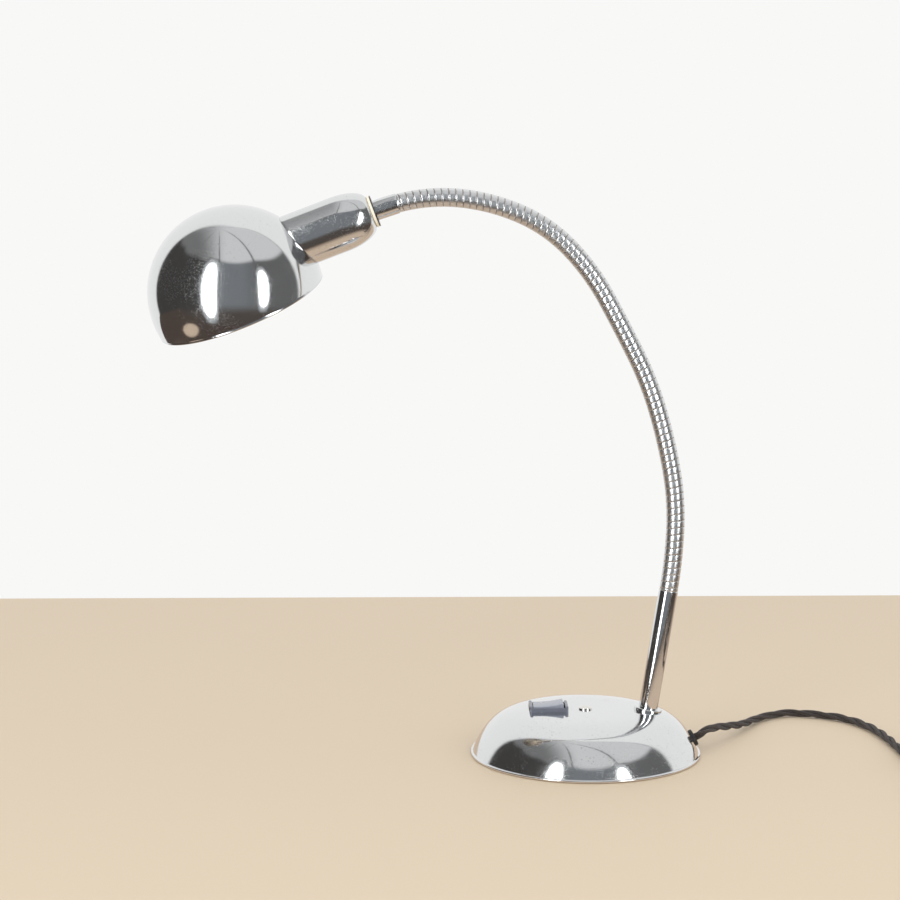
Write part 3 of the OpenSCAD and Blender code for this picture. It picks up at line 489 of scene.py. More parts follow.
def make_materials(looks):
    """One material for each slot of the record, under the slot's name, and four more: shade
    chrome, neck chrome, satin and screw."""
    plate, moulded = plate_group(), moulded_group()
    chrome, haze = tuple(looks.chrome), looks.haze

    def metal(name, colour, polish, marks, pits=0.4, bump=0.05, metallic=1.0, **more):
        return material(name, plate, {"Colour": colour, "Polish": polish, "Haze": marks,
                                      "Pits": pits, **more}, bump, 0.0002, Metallic=metallic)
    metal("chrome", chrome, 0.045, haze, 0.7, 0.04)
    metal("shade chrome", chrome, 0.035, haze, 0.3, 0.02)
    metal("satin", (0.72, 0.71, 0.68), 0.24, 0.2, 0.3, 0.1)
    metal("zinc_steel", (0.66, 0.66, 0.63), 0.22, 0.3)
    metal("screw", (0.80, 0.78, 0.74), 0.08, 0.2)
    metal("dark_steel", (0.10, 0.10, 0.11), 0.25, 0.3)
    metal("pale_brass", tuple(looks.washer), 0.45, 0.1, metallic=0.0, Stain=(0.55, 0.42, 0.28))
    metal("brass", (0.76, 0.57, 0.27), 0.2, 0.3, 0.5, Stain=(0.3, 0.2, 0.1))
    metal("cap_metal", (0.72, 0.72, 0.70), 0.2, 0.2)
    metal("pin_metal", (0.74, 0.73, 0.70), 0.12, 0.2)
    metal("iron", (0.14, 0.14, 0.14), 0.55, 0.4, 0.9, 0.6)
    t, shader, plated = metal("neck chrome", chrome, 0.3, 0.08, 0.4, 0.02)
    # Painted shade: the colour is darkened towards grey-brown in the grooves between the ribs,
    # where the point attribute groove is 1
    groove = t.put("Attribute", attribute_name="groove").outputs["Fac"]
    t.link(t.mixed(groove, plated["Colour"], (0.46, 0.43, 0.40, 1.0)), shader["Base Color"])
    t.link(t.maths("MULTIPLY_ADD", groove, 0.2, plated["Roughness"]), shader["Roughness"])

    def plastic(name, colour, bloom, gloss, bump=0.05, **more):
        material(name, moulded, {"Colour": colour, "Bloom": bloom, "Gloss": gloss}, bump,
                 0.0001, **more)
    plastic("switch_plastic", tuple(looks.switch), (0.22, 0.23, 0.27), 0.22, Coat_Weight=0.2)
    plastic("rocker_plastic", tuple(looks.rocker), (0.40, 0.42, 0.47), 0.2, Coat_Weight=0.3)
    plastic("grommet_rubber", (0.018, 0.017, 0.017), (0.035, 0.033, 0.032), 0.5, 0.15)
    plastic("block_plastic", (0.80, 0.76, 0.66), (0.72, 0.66, 0.54), 0.28)
    plastic("wire_sleeve", (0.22, 0.19, 0.17), (0.27, 0.24, 0.22), 0.4)
    plastic("plug_plastic", (0.022, 0.020, 0.019), (0.05, 0.047, 0.045), 0.3, 0.1)
    plastic("opal_glass", (0.93, 0.92, 0.88), (0.90, 0.88, 0.83), 0.12, 0.0,
            Coat_Weight=0.5, Subsurface_Weight=0.3, Subsurface_Scale=0.004)
    material("flex_braid", braid_group(), {"Yarn": tuple(looks.flex),
                                           "Gap": (0.008, 0.006, 0.005)},
             0.9, 0.0003, Sheen_Weight=0.15)
    material("felt", fibre_group(), {}, 0.8, 0.0006, Sheen_Weight=0.5)


# Settings

def colour_prop(name, description, value):
    return bpy.props.FloatVectorProperty(name=name, description=description, default=value,
                                         size=3, min=0, max=1, subtype="COLOR")


def size_prop(name, description, value, low, high, unit="NONE"):
    return bpy.props.FloatProperty(name=name, description=description, default=value, min=low,
                                   max=high, unit=unit)


class LampLooks(bpy.types.PropertyGroup):
    chrome: colour_prop("Chrome", "Colour of the chrome plate", (0.76, 0.77, 0.78))
    haze: size_prop("Haze", "Strength of the smudges on the chrome", 0.32, 0, 1)
    washer: colour_prop("Washer", "Colour of the pale washer at the cup", (0.93, 0.85, 0.68))
    switch: colour_prop("Switch frame", "Colour of the switch's frame", (0.14, 0.15, 0.18))
    rocker: colour_prop("Rocker", "Colour of the switch's rocker", (0.26, 0.28, 0.33))
    flex: colour_prop("Flex", "Colour of the flex's braid", (0.075, 0.056, 0.050))
    rib_crown: size_prop("Rib crown", "Rise of each rib's middle, in mm", 0.03, 0, 0.5)
    rib_width: size_prop("Rib width", "Width of each rib along the neck, in mm", 4.86, 3, 4.93)
    flex_lay: size_prop("Flex lay", "Length of one twist of the flex, in mm", 66, 20, 120)
    floor: colour_prop("Floor", "Colour of the floor", (0.68, 0.56, 0.41))
    wall: colour_prop("Wall", "Colour behind the floor", (0.94, 0.94, 0.93))


class LampLights(bpy.types.PropertyGroup):
    left: size_prop("Left light", "Power of the soft light on the left", 14, 0, 999, "POWER")
    right: size_prop("Right light", "Power of the soft light on the right", 10, 0, 999, "POWER")
    room: size_prop("Room", "Brightness of the dim room that the metal shows", 0.09, 0, 1)
    canopy: size_prop("Canopy", "Brightness of the pale canopy overhead", 0.7, 0, 1)
    left_window: size_prop("Left window", "Brightness of the left window", 7.0, 0, 20)
    right_window: size_prop("Right window", "Brightness of the right window", 6.0, 0, 20)


# Operators

class Undoable:
    bl_options = {"REGISTER", "UNDO"}


class LAMP_OT_camera(Undoable, bpy.types.Operator):
    """Place the camera at the photograph's viewpoint"""
    bl_idname = "lamp.camera"
    bl_label = "Camera"

    def execute(self, context):
        data = bpy.data.cameras.new("camera")
        data.lens, data.sensor_width, data.shift_y = 75, 36, 22 / 900
        data.clip_start, data.clip_end = 0.05, 50
        cam = add_object("camera", data)
        cam.matrix_world = aimed(-0.1055, -1.440, 0.389, (83.4, "X"), (-0.21, "Z"))
        bpy.context.scene.camera = cam
        return {"FINISHED"}


class LAMP_OT_materials(Undoable, bpy.types.Operator):
    """Make the shared materials and give them to the CAD nodes that stay in sight"""
    bl_idname = "lamp.materials"
    bl_label = "Materials"

    def execute(self, context):
        make_materials(context.scene.lamp_looks)
        slots = {s["node"]: s["material_slot"] for s in frame["record"]["subparts"]}
        for name, node in frame["nodes"].items():
            node.data.materials.clear()
            node.data.materials.append(MATERIALS[slots[name]])
        return {"FINISHED"}


def smooth_path(points, step):
    """A smooth curve through the points at equal steps, and the length at each."""
    p = np.vstack([2 * points[0] - points[1], points, 2 * points[-1] - points[-2]])
    a, b, c, d = p[:-3, None], p[1:-2, None], p[2:-1, None], p[3:, None]
    t = np.linspace(0, 1, 12, endpoint=False)[None, :, None]
    fine = 0.5 * (2 * b + (c - a) * t + (2 * a - 5 * b + 4 * c - d) * t ** 2
                  + (3 * b - a - 3 * c + d) * t ** 3)
    fine = np.vstack([fine.reshape(-1, 3), points[-1]])
    s = np.concatenate([[0], np.cumsum(np.linalg.norm(np.diff(fine, axis=0), axis=1))])
    at = np.linspace(0, s[-1], int(s[-1] / step) + 1)
    return np.stack([np.interp(at, s, fine[:, k]) for k in range(3)], 1), at


def make_tie():
    """A band of 9 by 0.6 mm round the coil's turns, with round corners."""
    x0, x1, z0, z1, w, t, corner = 26.52, 49.15, 0.05, 15.15, 4.5, 0.6, 3.2
    path = rounded([(x, z, corner) for x, z in ((x0, z0), (x1, z0), (x1, z1), (x0, z1))], True, 8)
    edge = rounded([(y, d, 0.25) for y, d in ((-w, 0), (w, 0), (w, t), (-w, t))], True, 2)
    d = unit(np.roll(path, -1, 0) - np.roll(path, 1, 0))
    inward = np.stack([-d[:, 1], d[:, 0]], 1)
    inward *= np.sign(((path.mean(0) - path) * inward).sum(1, keepdims=True))
    rings = np.stack([np.column_stack([p[0] + i[0] * edge[:, 1], edge[:, 0],
                                       p[1] + i[1] * edge[:, 1]])
                      for p, i in zip(path, inward)])
    at = move(*COIL_C, 0) @ turn("Z", COIL_START - 180)
    return piece("coil_tie", skin(rings, loop=True), FOOT, "grommet_rubber", ["flex_tie"], at)


def make_plug():
    """The plug and its pins. A ribbed relief swells into a body with grip ridges."""
    def quarter(r, q):
        return r * (1 - math.sqrt(max(0, 1 - max(0, q) ** 2)))
    relief = [(3.3, 0.0), (4.0, 0.0)]
    for z in np.linspace(0.3, 14.5, 60):
        rib = 0.35 * (math.sin(z * 2 * math.pi / 2.6) > 0)
        relief.append((4.35 + 2.2 * z / 15 - rib, z))
    relief.append((0, 14.6))
    rows = []
    for q in np.linspace(0, 1, 46):
        swell = min(1.0, 0.42 + 0.58 * math.sin(min(q / 0.42, 1) * math.pi / 2) ** 1.5)
        ends = quarter(1.3, (q - 0.965) / 0.035) + quarter(1.5, 1 - q / 0.04)
        grip = 0.35 * (0.5 + 0.5 * math.cos(q * 2 * math.pi * 12)) * (0.25 < q < 0.75)
        half_w, half_h = 19.3 * swell - ends - grip, 10.3 * (0.8 + 0.2 * swell) - ends
        rows.append((outline(2 * half_w, 2 * half_h, min(half_h, half_w) - 0.05, 10),
                     14 + 38 * q))
    plug = piece("plug", joined(lathe(relief, 40), skin(loft(rows))), FOOT, "plug_plastic",
                 ["plug_body"], PLUG)
    r, z = 2.4, 28.6
    pin = [(0, 0), (r, 0), (r, z + 0.4), *[(r * math.cos(a), z + r * math.sin(a))
                                           for a in np.linspace(0.1, math.pi / 2 - 0.1, 8)],
           (0, z + r)]
    co, faces = lathe(pin, 32)
    pins = piece("plug_pin_pair", joined(*[(co + [x, 0, 40], faces) for x in (-9.5, 9.5)]), FOOT,
                 "pin_metal", ["plug_pins"], PLUG)
    return plug, pins


class LAMP_OT_flex(Undoable, bpy.types.Operator):
    """Lay the twisted flex from the foot through its coil to the plug"""
    bl_idname = "lamp.flex"
    bl_label = "Flex"

    def execute(self, context):
        line, s = smooth_path(FLEX_PATH, 1.6)
        t = unit(np.gradient(line, axis=0))
        u = unit(np.cross([0, 0, 1], t))
        v = np.cross(t, u)
        sides, strand_r, lift = 10, 1.5, 1.73
        f = 2 * np.pi * np.arange(sides)[None, :, None] / sides
        shapes = []
        for k in range(3):
            a = 2 * np.pi * (s / context.scene.lamp_looks.flex_lay + k / 3)[:, None]
            out = np.cos(a) * u + np.sin(a) * v
            centre = line + lift * out
            along = unit(np.gradient(centre, axis=0))
            e1 = unit(out - (out * along).sum(1, keepdims=True) * along)
            e2 = np.cross(along, e1)
            shapes.append(skin(centre[:, None] + strand_r * (
                np.cos(f) * e1[:, None] + np.sin(f) * e2[:, None])))
        co, faces = joined(*shapes)
        faces.sort(key=lambda f: f.shape[1] == 3)
        # One UV square for each quad; the ends' triangles come after the quads
        grid = np.stack(np.broadcast_arrays(np.arange(sides)[None] / sides, s[:-1, None]), -1)
        across, ahead = np.array([1 / sides, 0]), np.array([0, s[1]])
        uv = np.stack([grid, grid + across, grid + across + ahead, grid + ahead], 2)
        flex = piece("twisted_flex", (co, faces), FOOT, "flex_braid",
                     ["flex_free", "flex_coil", "flex_tail"], sharp=0,
                     uv=np.tile(uv.reshape(-1, 2), (3, 1)))
        tie = make_tie()
        plug, pins = make_plug()
        return {"FINISHED"}


def dome_curve(radius, rise, n):
    u = np.radians(90 * (np.arange(n + 1) / n) ** 1.6)
    return np.stack([radius * np.sin(u) ** (2 / DOME_POWER), PROUD + rise * np.cos(u) ** 2], 1)


def make_screw():
    """A domed head, whose columns across the slot drop to its floor."""
    r, n, slot = 5.25, 28, 0.6
    crown, wall, foot_z = 10.5, 0.72, FOOT_H - 0.3
    half = np.sin(np.linspace(0.12, 1, 12) * np.pi / 2) * (r - wall) + 0.7
    edge = np.array([slot - 0.02, slot, slot + 0.02])
    x = np.concatenate([-half[::-1], -edge[::-1], edge, half])
    low = (np.abs(x) < slot - 0.005)[:, None]
    x = np.clip(x, -r * 0.998, r * 0.998)
    y = np.sqrt(r * r - x * x)[:, None] * np.sin(np.linspace(-1, 1, n) * np.pi / 2)[None]
    z = FOOT_H + 2.4 - crown + np.sqrt(crown ** 2 - x[:, None] ** 2 - y ** 2)
    worn = 0.12 * np.exp(-(np.abs(x[:, None]) - slot) / 0.1)
    z = np.where(low, FOOT_H + 1.2, z - worn)
    m = len(x)
    top = np.stack([np.broadcast_to(x[:, None], y.shape), y, z], -1).reshape(-1, 3)
    i, j = np.arange(m - 1)[:, None], np.arange(n - 1)[None]
    quads = np.stack([i * n + j, (i + 1) * n + j, (i + 1) * n + j + 1, i * n + j + 1],
                     -1).reshape(-1, 4)
    rim = np.concatenate([np.arange(m) * n, (m - 1) * n + np.arange(1, n),
                          np.arange(m - 2, -1, -1) * n + n - 1, np.arange(n - 2, 0, -1)])
    foot = top[rim] * [1, 1, 0] + [0, 0, foot_z]
    k, c = np.arange(len(rim)), len(rim)
    side = np.stack([rim, m * n + k, m * n + (k + 1) % c, rim[(k + 1) % c]], 1)
    under = np.stack([m * n + k, np.full(c, m * n + c), m * n + (k + 1) % c], 1)
    verts = np.vstack([top, foot, [[0, 0, foot_z]]])
    piece("tie_screw_head", (verts, [quads, side, under]), FOOT, "zinc_steel", ["tie_screw"],
          mats=["screw"], sharp=30)


class LAMP_OT_foot(Undoable, bpy.types.Operator):
    """Spin the dome with its lip, and make the screw and the grommet"""
    bl_idname = "lamp.foot"
    bl_label = "Foot"

    def execute(self, context):
        wall, lip_r, lip_z = 1.2, 0.9, 1.5
        outer = dome_curve(DOME_R, DOME_RISE, 110)[::-1]
        inner = dome_curve(DOME_R - wall, DOME_RISE - wall, 60)
        a = np.radians(np.linspace(-90, 88, 13))
        lip = np.stack([DOME_R + lip_r * np.cos(a), lip_z + lip_r * np.sin(a)], 1)
        profile = np.vstack([[0, inner[0, 1]], inner[1:], [[88.0, PROUD]], lip,
                             outer[outer[:, 1] > lip_z + lip_r + 0.05][:-1], [[0, FOOT_H]]])
        piece("foot_dome", lathe(profile, 224), FOOT, "chrome", ["base_shell"], sharp=50)
        make_screw()
        ring = rounded([(3.45, -3, 0), (5.3, -3, 0.3), (5.3, -1.2, 0), (6.75, -1.2, 0),
                        (6.75, 2.4, 1.1), (3.45, 2.4, 0.6)], True)
        piece("flex_grommet_ring", lathe(ring, 64, True), FOOT, "grommet_rubber",
              ["flex_grommet"], EXIT)
        return {"FINISHED"}


class LAMP_OT_switch(Undoable, bpy.types.Operator):
    """Make the rocker switch: its frame with raised ends, and the hollowed rocker"""
    bl_idname = "lamp.switch"
    bl_label = "Switch"

    def execute(self, context):
        top, hole = FOOT_H + 3.0, (25.2, 19.0)
        rows = [(outline(SWITCH_L, SWITCH_W, 1.5), z) for z in (FOOT_H - 1.6, top - 0.6)]
        for a in np.linspace(0, np.pi / 2, 5):
            d = 0.8 * (1 - math.cos(a))
            rows.append((outline(SWITCH_L - d, SWITCH_W - d, 1.5 - d / 2),
                         top - 0.4 + 0.4 * math.sin(a)))
        rows += [(outline(hole[0] + wider, hole[1] + wider, r), top - down)
                 for wider, r, down in ((0.5, 0.7, 0), (0.1, 0.6, 0.1), (0, 0.5, 0.4),
                                        (0, 0.5, 7))]
        ends = [soft_box(x, 2.55, SWITCH_W - 0.2, FOOT_H, FOOT_H + 4.4, 1.2, 0.8)
                for x in (-13.875, 13.875)]
        body = soft_box(0, 26.9, 20.4, FOOT_H - 19, FOOT_H - 6, 1, 0.5)
        piece("switch_frame", joined(skin(loft(rows)), *ends, body), FOOT, "switch_plastic",
              ["switch_housing"], move(SWITCH_X, 0, 0))
        # The rocker's section has a hollow top, a ridge at each end and a belly. It is drawn
        # in at both flanks, where y is -9.2 and 9.2.
        x, half = np.linspace(-1, 1, 41), 12
        hollow = np.stack([half * x, 4.1 + 0.85 * np.abs(x) ** 2.2], 1)[::-1]
        ridge = rounded([(half, 0, 0), (half, 4.95, 0.7), (11, 4.72, 0)], False, 4)[1:-1]
        side = np.vstack([np.stack([half * x, -2 - 3.5 * (1 - x ** 2)], 1), ridge,
                          hollow[np.abs(hollow[:, 0]) < 11], (ridge * [-1, 1])[::-1]])
        middle, reach, edge = np.array([0, 0.5]), np.array([half, 5]), 0.7
        drawn = [(-9.2, 1.2), *[(-8.5 - edge * math.sin(a), edge * (1 - math.cos(a)))
                                for a in np.linspace(np.pi / 2, 0, 6)]]
        drawn += [(-y, cut) for y, cut in drawn[::-1]]
        rings = [np.insert(middle + (side - middle) * (1 - cut / reach), 1, y, axis=1)
                 for y, cut in drawn]
        piece("switch_rocker_cap", skin(np.stack(rings)[::-1]), "rocker", "rocker_plastic",
              ["switch_rocker"], move(SWITCH_X, 0, FOOT_H + 0.2) @ turn("Y", -6), sharp=32)
        return {"FINISHED"}


class LAMP_OT_stem(Undoable, bpy.types.Operator):
    """Turn the leaning stem and its collar"""
    bl_idname = "lamp.stem"
    bl_label = "Stem"

    def execute(self, context):
        bore, collar = 6.4, 11
        tube = rounded([(bore, 84, 0), (bore, 1, 0), (STEM_R, 1, 0), (STEM_R, STEM_LEN, 0.45),
                        (bore, STEM_LEN, 0.2)], True)
        k = int(np.argmax((tube[:, 0] == STEM_R) & (tube[:, 1] == 1))) + 1
        rows = np.stack([np.full(24, STEM_R), np.linspace(2, STEM_LEN - 2, 24)], 1)
        ring = rounded([(STEM_R, -1.6, 0), (collar, -1.6, 0), (collar, 1.8, 0.9),
                        (STEM_R, 1.8, 0)], True)
        for name, profile, node in (
                ("stem", np.vstack([tube[:k], rows, tube[k:]]), "stem_tube"),
                ("stem_ring", ring, "stem_collar")):
            piece(name, lathe(profile, 96, True), FOOT, "chrome", [node], STEM)
        return {"FINISHED"}


def neck_length(k, points, groove, low, high, per):
    """One length of the strip, between two rows. Its last column is its first one a rib
    further on, so the two share points where both are in this length."""
    wide = points.shape[1]
    i, j = np.arange(low, high)[:, None], np.arange(wide - 1)[None]
    idx = np.arange(points.shape[0] * wide).reshape(-1, wide)
    last = np.arange(low, high + 1 - per)
    idx[last, -1] = idx[last + per, 0]
    quads = np.stack([idx[i, j], idx[i, j + 1], idx[i + 1, j + 1], idx[i + 1, j]], -1)
    used, faces = np.unique(quads.reshape(-1, 4), return_inverse=True)
    co, mark = points.reshape(-1, 3)[used], groove.reshape(-1)[used]

    # Painted shade: marks the gaps between the ribs, which the neck's material darkens
    def paint_groove_shade(mesh):
        mesh.attributes.new("groove", "FLOAT", "POINT").data.foreach_set(
            "value", mark.astype(np.float32))
    bodies = [FOOT, *[f"neck_{b}" for b in range(2, 10)]]
    nodes = [f"neck_link_{n}" for n in (k, k + 1) if 1 <= n <= 9]
    body = bodies[0 if k == 0 else 8]
    if len(nodes) == 2:
        a, b = section(np.array([LINK * (k - 0.5), LINK * (k + 0.5)]))
        body = (bodies[k - 1], bodies[k], (a[0], 0, a[1]), (b[0], 0, b[1]))
    piece(f"neck_winding_{k + 1}", (co, [faces.reshape(-1, 4)]), body, "chrome", nodes,
          mats=["neck chrome"], sharp=0, extra=paint_groove_shade)


class LAMP_OT_neck(Undoable, bpy.types.Operator):
    """Wind the neck: one continuous ribbed strip, in lengths that bend between the links"""
    bl_idname = "lamp.neck"
    bl_label = "Neck"

    def execute(self, context):
        # Rows follow the helix: s = pitch * (rib + f / turn) + place across the rib. The ribs
        # keep their width, so their gaps open outside the bend and close inside it. A place
        # of -2 is the floor of the gap before the rib.
        looks = context.scene.lamp_looks
        pitch, sides, width, floor, shoulder = LINK / 9, 48, looks.rib_width, 0.45, 0.21
        v = np.array([-2, -1, -0.95, -0.86, -0.72, -0.5, -0.2, 0.2, 0.5, 0.72, 0.86, 0.95, 1])
        per, ribs = len(v), 85
        f = np.linspace(0, 2 * np.pi, sides + 1)[None]
        row = np.arange(-2 * per, ribs * per)
        rib, at = row // per, v[row % per]
        middle = pitch * (rib[:, None] + 0.5 + f / (2 * np.pi))
        bend = np.radians(np.array([0, *TURNS, FERRULE_TURN])) / [1, *[LINK] * 9, FERRULE]
        which = np.clip(np.floor(middle / LINK).astype(int) + 1, 0, 10)
        stretch = 1 - bend[which] * NECK_R * np.sin(f)
        across = np.where(at[:, None] == -2, -pitch * stretch / 2, at[:, None] * width / 2)
        depth = np.where(at == -2, floor, looks.rib_crown * at ** 2
                         + shoulder * np.abs(at) ** 12)
        s = middle + across / stretch
        r = np.where((s > 0.15) & (s < 9 * LINK - 0.15), NECK_R - depth[:, None], 6.2)
        points = on_neck(s, r, f)
        # Painted shade mask: 1 on the floors of the gaps and the rib edges, 0 on the ribs
        groove = np.broadcast_to(np.clip((np.abs(at) - 0.9) * 10, 0, 1)[:, None], s.shape)
        cuts = [per, *[(round(LINK * (k + 0.5) / pitch) + 2) * per for k in range(9)],
                len(row) - 1 - per]
        for k in range(10):
            neck_length(k, points, groove, cuts[k], cuts[k + 1], per)
        outer = 7.8
        tube = rounded([(6.9, 0, 0), (outer, 0, 0.5), (outer, FERRULE, 0.4), (6.7, FERRULE, 0)])
        rows = np.stack([np.full(16, outer), np.linspace(1.5, 18.5, 16)], 1)
        rows = np.vstack([tube[:9], rows, tube[9:]])
        f = 2 * np.pi * np.arange(72) / 72
        rings = on_neck(9 * LINK + rows[:, 1:], rows[:, :1], f[None])
        piece("neck_end_ferrule", skin(rings), "neck_9", "chrome", ["neck_ferrule"])
        return {"FINISHED"}


def level(a, r, z):
    """A ring of points at angles a and radius r. Either r or z may differ with the angle."""
    return np.stack([r * np.cos(a), r * np.sin(a), np.broadcast_to(z, a.shape)], 1)


def on_ball(a, r, ball):
    """Height at which a ring meets a ball about the shade's middle, on the neck's side."""
    return SHADE_C[2] - np.sqrt(ball ** 2 - (r * np.cos(a) - SHADE_C[0]) ** 2
                                - (r * np.sin(a)) ** 2)


class LAMP_OT_head(Undoable, bpy.types.Operator):
    """Make the washers and the lampholder cup, whose mouth follows the ball"""
    bl_idname = "lamp.head"
    bl_label = "Head"

    def execute(self, context):
        for name, body, slot, node, z0, z1 in (
                ("thin_washer", "neck_9", "dark_steel", "steel_washer", 0, 0.77),
                ("pale_washer", "head", "pale_brass", "brass_washer", 0.83, 3.0)):
            e = (z1 - z0) * 0.3
            ring = rounded([(5.1, z0, 0), (12.25, z0, e), (12.25, z1, e), (5.1, z1, 0)], True)
            piece(name, lathe(ring, 80, True), body, slot, [node], HEAD)
        a = 2 * np.pi * np.arange(128) / 128
        cup, bore, base, rise, ball = 21.5, 20.6, 3.0, 26, SHADE_R + 0.12
        rings = [level(a, r, base) for r in (0, 3, 6, 8.5, 10.2)]
        rings += [level(a, cup / 2 * (1 + math.sin(t)), base + rise * (1 - math.cos(t)))
                  for t in np.linspace(0, np.pi / 2, 40)]
        low, end, inner = base + rise, on_ball(a, cup, ball), on_ball(a, bore, ball)
        rings += [level(a, cup, low + (end - low) * q) for q in (0.2, 0.4, 0.6, 0.8, 0.95, 0.985)]
        rings += [level(a, x, z) for x, z in (
            (cup - 0.08, end - 0.06), (cup - 0.2, end), (bore + 0.08, inner),
            (bore, inner - 0.1), (bore, 31.0))]
        piece("holder_cup_shell", skin(np.stack(rings)), "head", "chrome", ["holder_cup"], HEAD,
              sharp=45)
        return {"FINISHED"}


class LAMP_OT_shade(Undoable, bpy.types.Operator):
    """Spin the ball shade about its own axis, with a rolled bead at the rim, and make the
    ring and the lampholder's mouth inside it"""
    bl_idname = "lamp.shade"
    bl_label = "Shade"

    def execute(self, context):
        inner_r, n = SHADE_R - SHADE_T, 192
        q = np.linspace(0, math.acos((1 - RIM) / inner_r), 80)
        inside = np.stack([inner_r * np.sin(q), inner_r * np.cos(q)], 1)
        c = math.sqrt(SHADE_R ** 2 - RIM ** 2) - 0.8
        b = np.radians(np.linspace(95, 372, 20))
        bead = np.stack([c + np.cos(b), -RIM + np.sin(b)], 1)
        q = np.linspace(math.acos(-RIM * 0.965 / SHADE_R), 0, 110)
        outside = np.stack([SHADE_R * np.sin(q), SHADE_R * np.cos(q)], 1)

        def two_sides(mesh):
            # Satin inside and on the fan of the inside pole, chrome on the rest
            index = np.ones(len(mesh.polygons), np.int32)
            index[:n * (len(inside) + 4)] = 0
            index[-2 * n:-n] = 0
            mesh.polygons.foreach_set("material_index", index)
        piece("ball_shade", lathe(np.vstack([inside, bead, outside]), n), "head", "chrome",
              ["shade"], HEAD @ move(*SHADE_C) @ turn("Y", 90), ["satin", "shade chrome"],
              sharp=50, extra=two_sides)
        a = 2 * np.pi * np.arange(288) / 288
        r, bore, top, edge, ball = RING_R, HOLDER_R + 0.1, RING_TOP, 0.7, SHADE_R - 1
        grip = 0.35 * (0.5 + 0.5 * np.cos(a * 36)) ** 2
        z0 = on_ball(a, r, ball)
        rings = [level(a, x, on_ball(a, x, ball)) for x in (bore, 22, r - 0.4)]
        rings += [level(a, r - grip, z0 + 0.3)]
        rings += [level(a, r - grip, z0 + (top - edge - z0) * t) for t in (0.3, 0.6, 0.9)]
        rings += [level(a, r - grip * (1 - t) - edge * (1 - math.cos(t * 1.57)),
                        top - edge + edge * math.sin(t * 1.57)) for t in (0.0, 0.33, 0.66, 1.0)]
        rings += [level(a, x, top - down) for x, down in (
            (r - 1.1, 0), (bore + 0.4, 0), (bore + 0.1, 0.2), (bore, 0.6))]
        piece("ball_ring", skin(np.stack(rings), loop=True), "head", "block_plastic",
              ["shade_ring"], HEAD)
        mouth = RING_TOP + 2
        body = rounded([(0, 28.4, 0), (17.2, 28.4, 0.5), (HOLDER_R, 30, 0.5),
                        (HOLDER_R, mouth, 0.9), (15.2, mouth, 0.6), (15.2, 50, 0), (0, 50, 0)])
        piece("holder_mouth", lathe(body, 96), "head", "block_plastic", ["holder_body"], HEAD)
        return {"FINISHED"}


class LAMP_OT_bulb(Undoable, bpy.types.Operator):
    """Blow the bulb's globe, drawn in smoothly to its neck"""
    bl_idname = "lamp.bulb"
    bl_label = "Bulb"

    def execute(self, context):
        radius, middle, waist, drop, neck_r, neck_z = 22.5, 101.7, 20.25, 9.807, 12.6, 75.2
        t = np.linspace(0, 1, 18)[:, None]
        start, end = np.array([neck_r, neck_z]), np.array([waist, middle - drop])
        d0, d1 = np.array([0.0, 14.0]), np.array([drop, waist]) / radius * 16
        neck = ((2 * t ** 3 - 3 * t ** 2 + 1) * start + (t ** 3 - 2 * t ** 2 + t) * d0
                + (3 * t ** 2 - 2 * t ** 3) * end + (t ** 3 - t ** 2) * d1)
        q = np.linspace(math.asin(-drop / radius), np.pi / 2, 36)[1:]
        globe = np.stack([radius * np.cos(q), middle + radius * np.sin(q)], 1)
        globe[-1, 0] = 0
        piece("bulb_globe", lathe(np.vstack([[[0, neck_z]], neck, globe]), 96), "head",
              "opal_glass", ["bulb_glass"], HEAD, sharp=60)
        return {"FINISHED"}


def make_window(name, x, y, width, low, high, glow):
    """A tall soft-edged glow that only the metal shows. Its UV is 1 at the window's edges,
    and runs on past them for the halo."""
    side = np.array([-y, x, 0]) / math.hypot(x, y) * width * 1.5
    mid, up = (low + high) / 2, (high - low) * 0.75
    mesh = bpy.data.meshes.new(name)
    mesh.from_pydata([np.array([x, y, mid + v * up]) + u * side
                      for u, v in ((-1, -1), (1, -1), (1, 1), (-1, 1))], [], [(0, 1, 2, 3)])
    mesh.uv_layers.new(name="UVMap").uv.foreach_set("vector", [-3, -1.5, 3, -1.5, 3, 1.5, -3, 1.5])
    mat, t = new_material(name)
    t.tree.nodes.clear()
    u, v, _ = t.axes(t.put("TexCoord").outputs["UV"])
    far = t.add(*[t.maths("POWER", t.maths("ABSOLUTE", c), 2.6) for c in (u, v)])
    core, halo = t.mul(t.ramp(far, 1.7, 0.5), glow), t.ramp(far, 4.5, 0.9, 0.0, 0.6)
    light = t.put("Emission", {0: (0.97, 0.99, 1, 1), 1: t.add(core, halo)})
    both = t.shaders(t.ramp(far, 4.5, 2.5), t.put("BsdfTransparent").outputs[0], light.outputs[0])
    t.link(both, t.put("OutputMaterial").inputs[0])
    mesh.materials.append(mat)
    card = add_object(name, mesh)
    card.visible_camera = card.visible_diffuse = card.visible_shadow = False
    card.visible_transmission = False


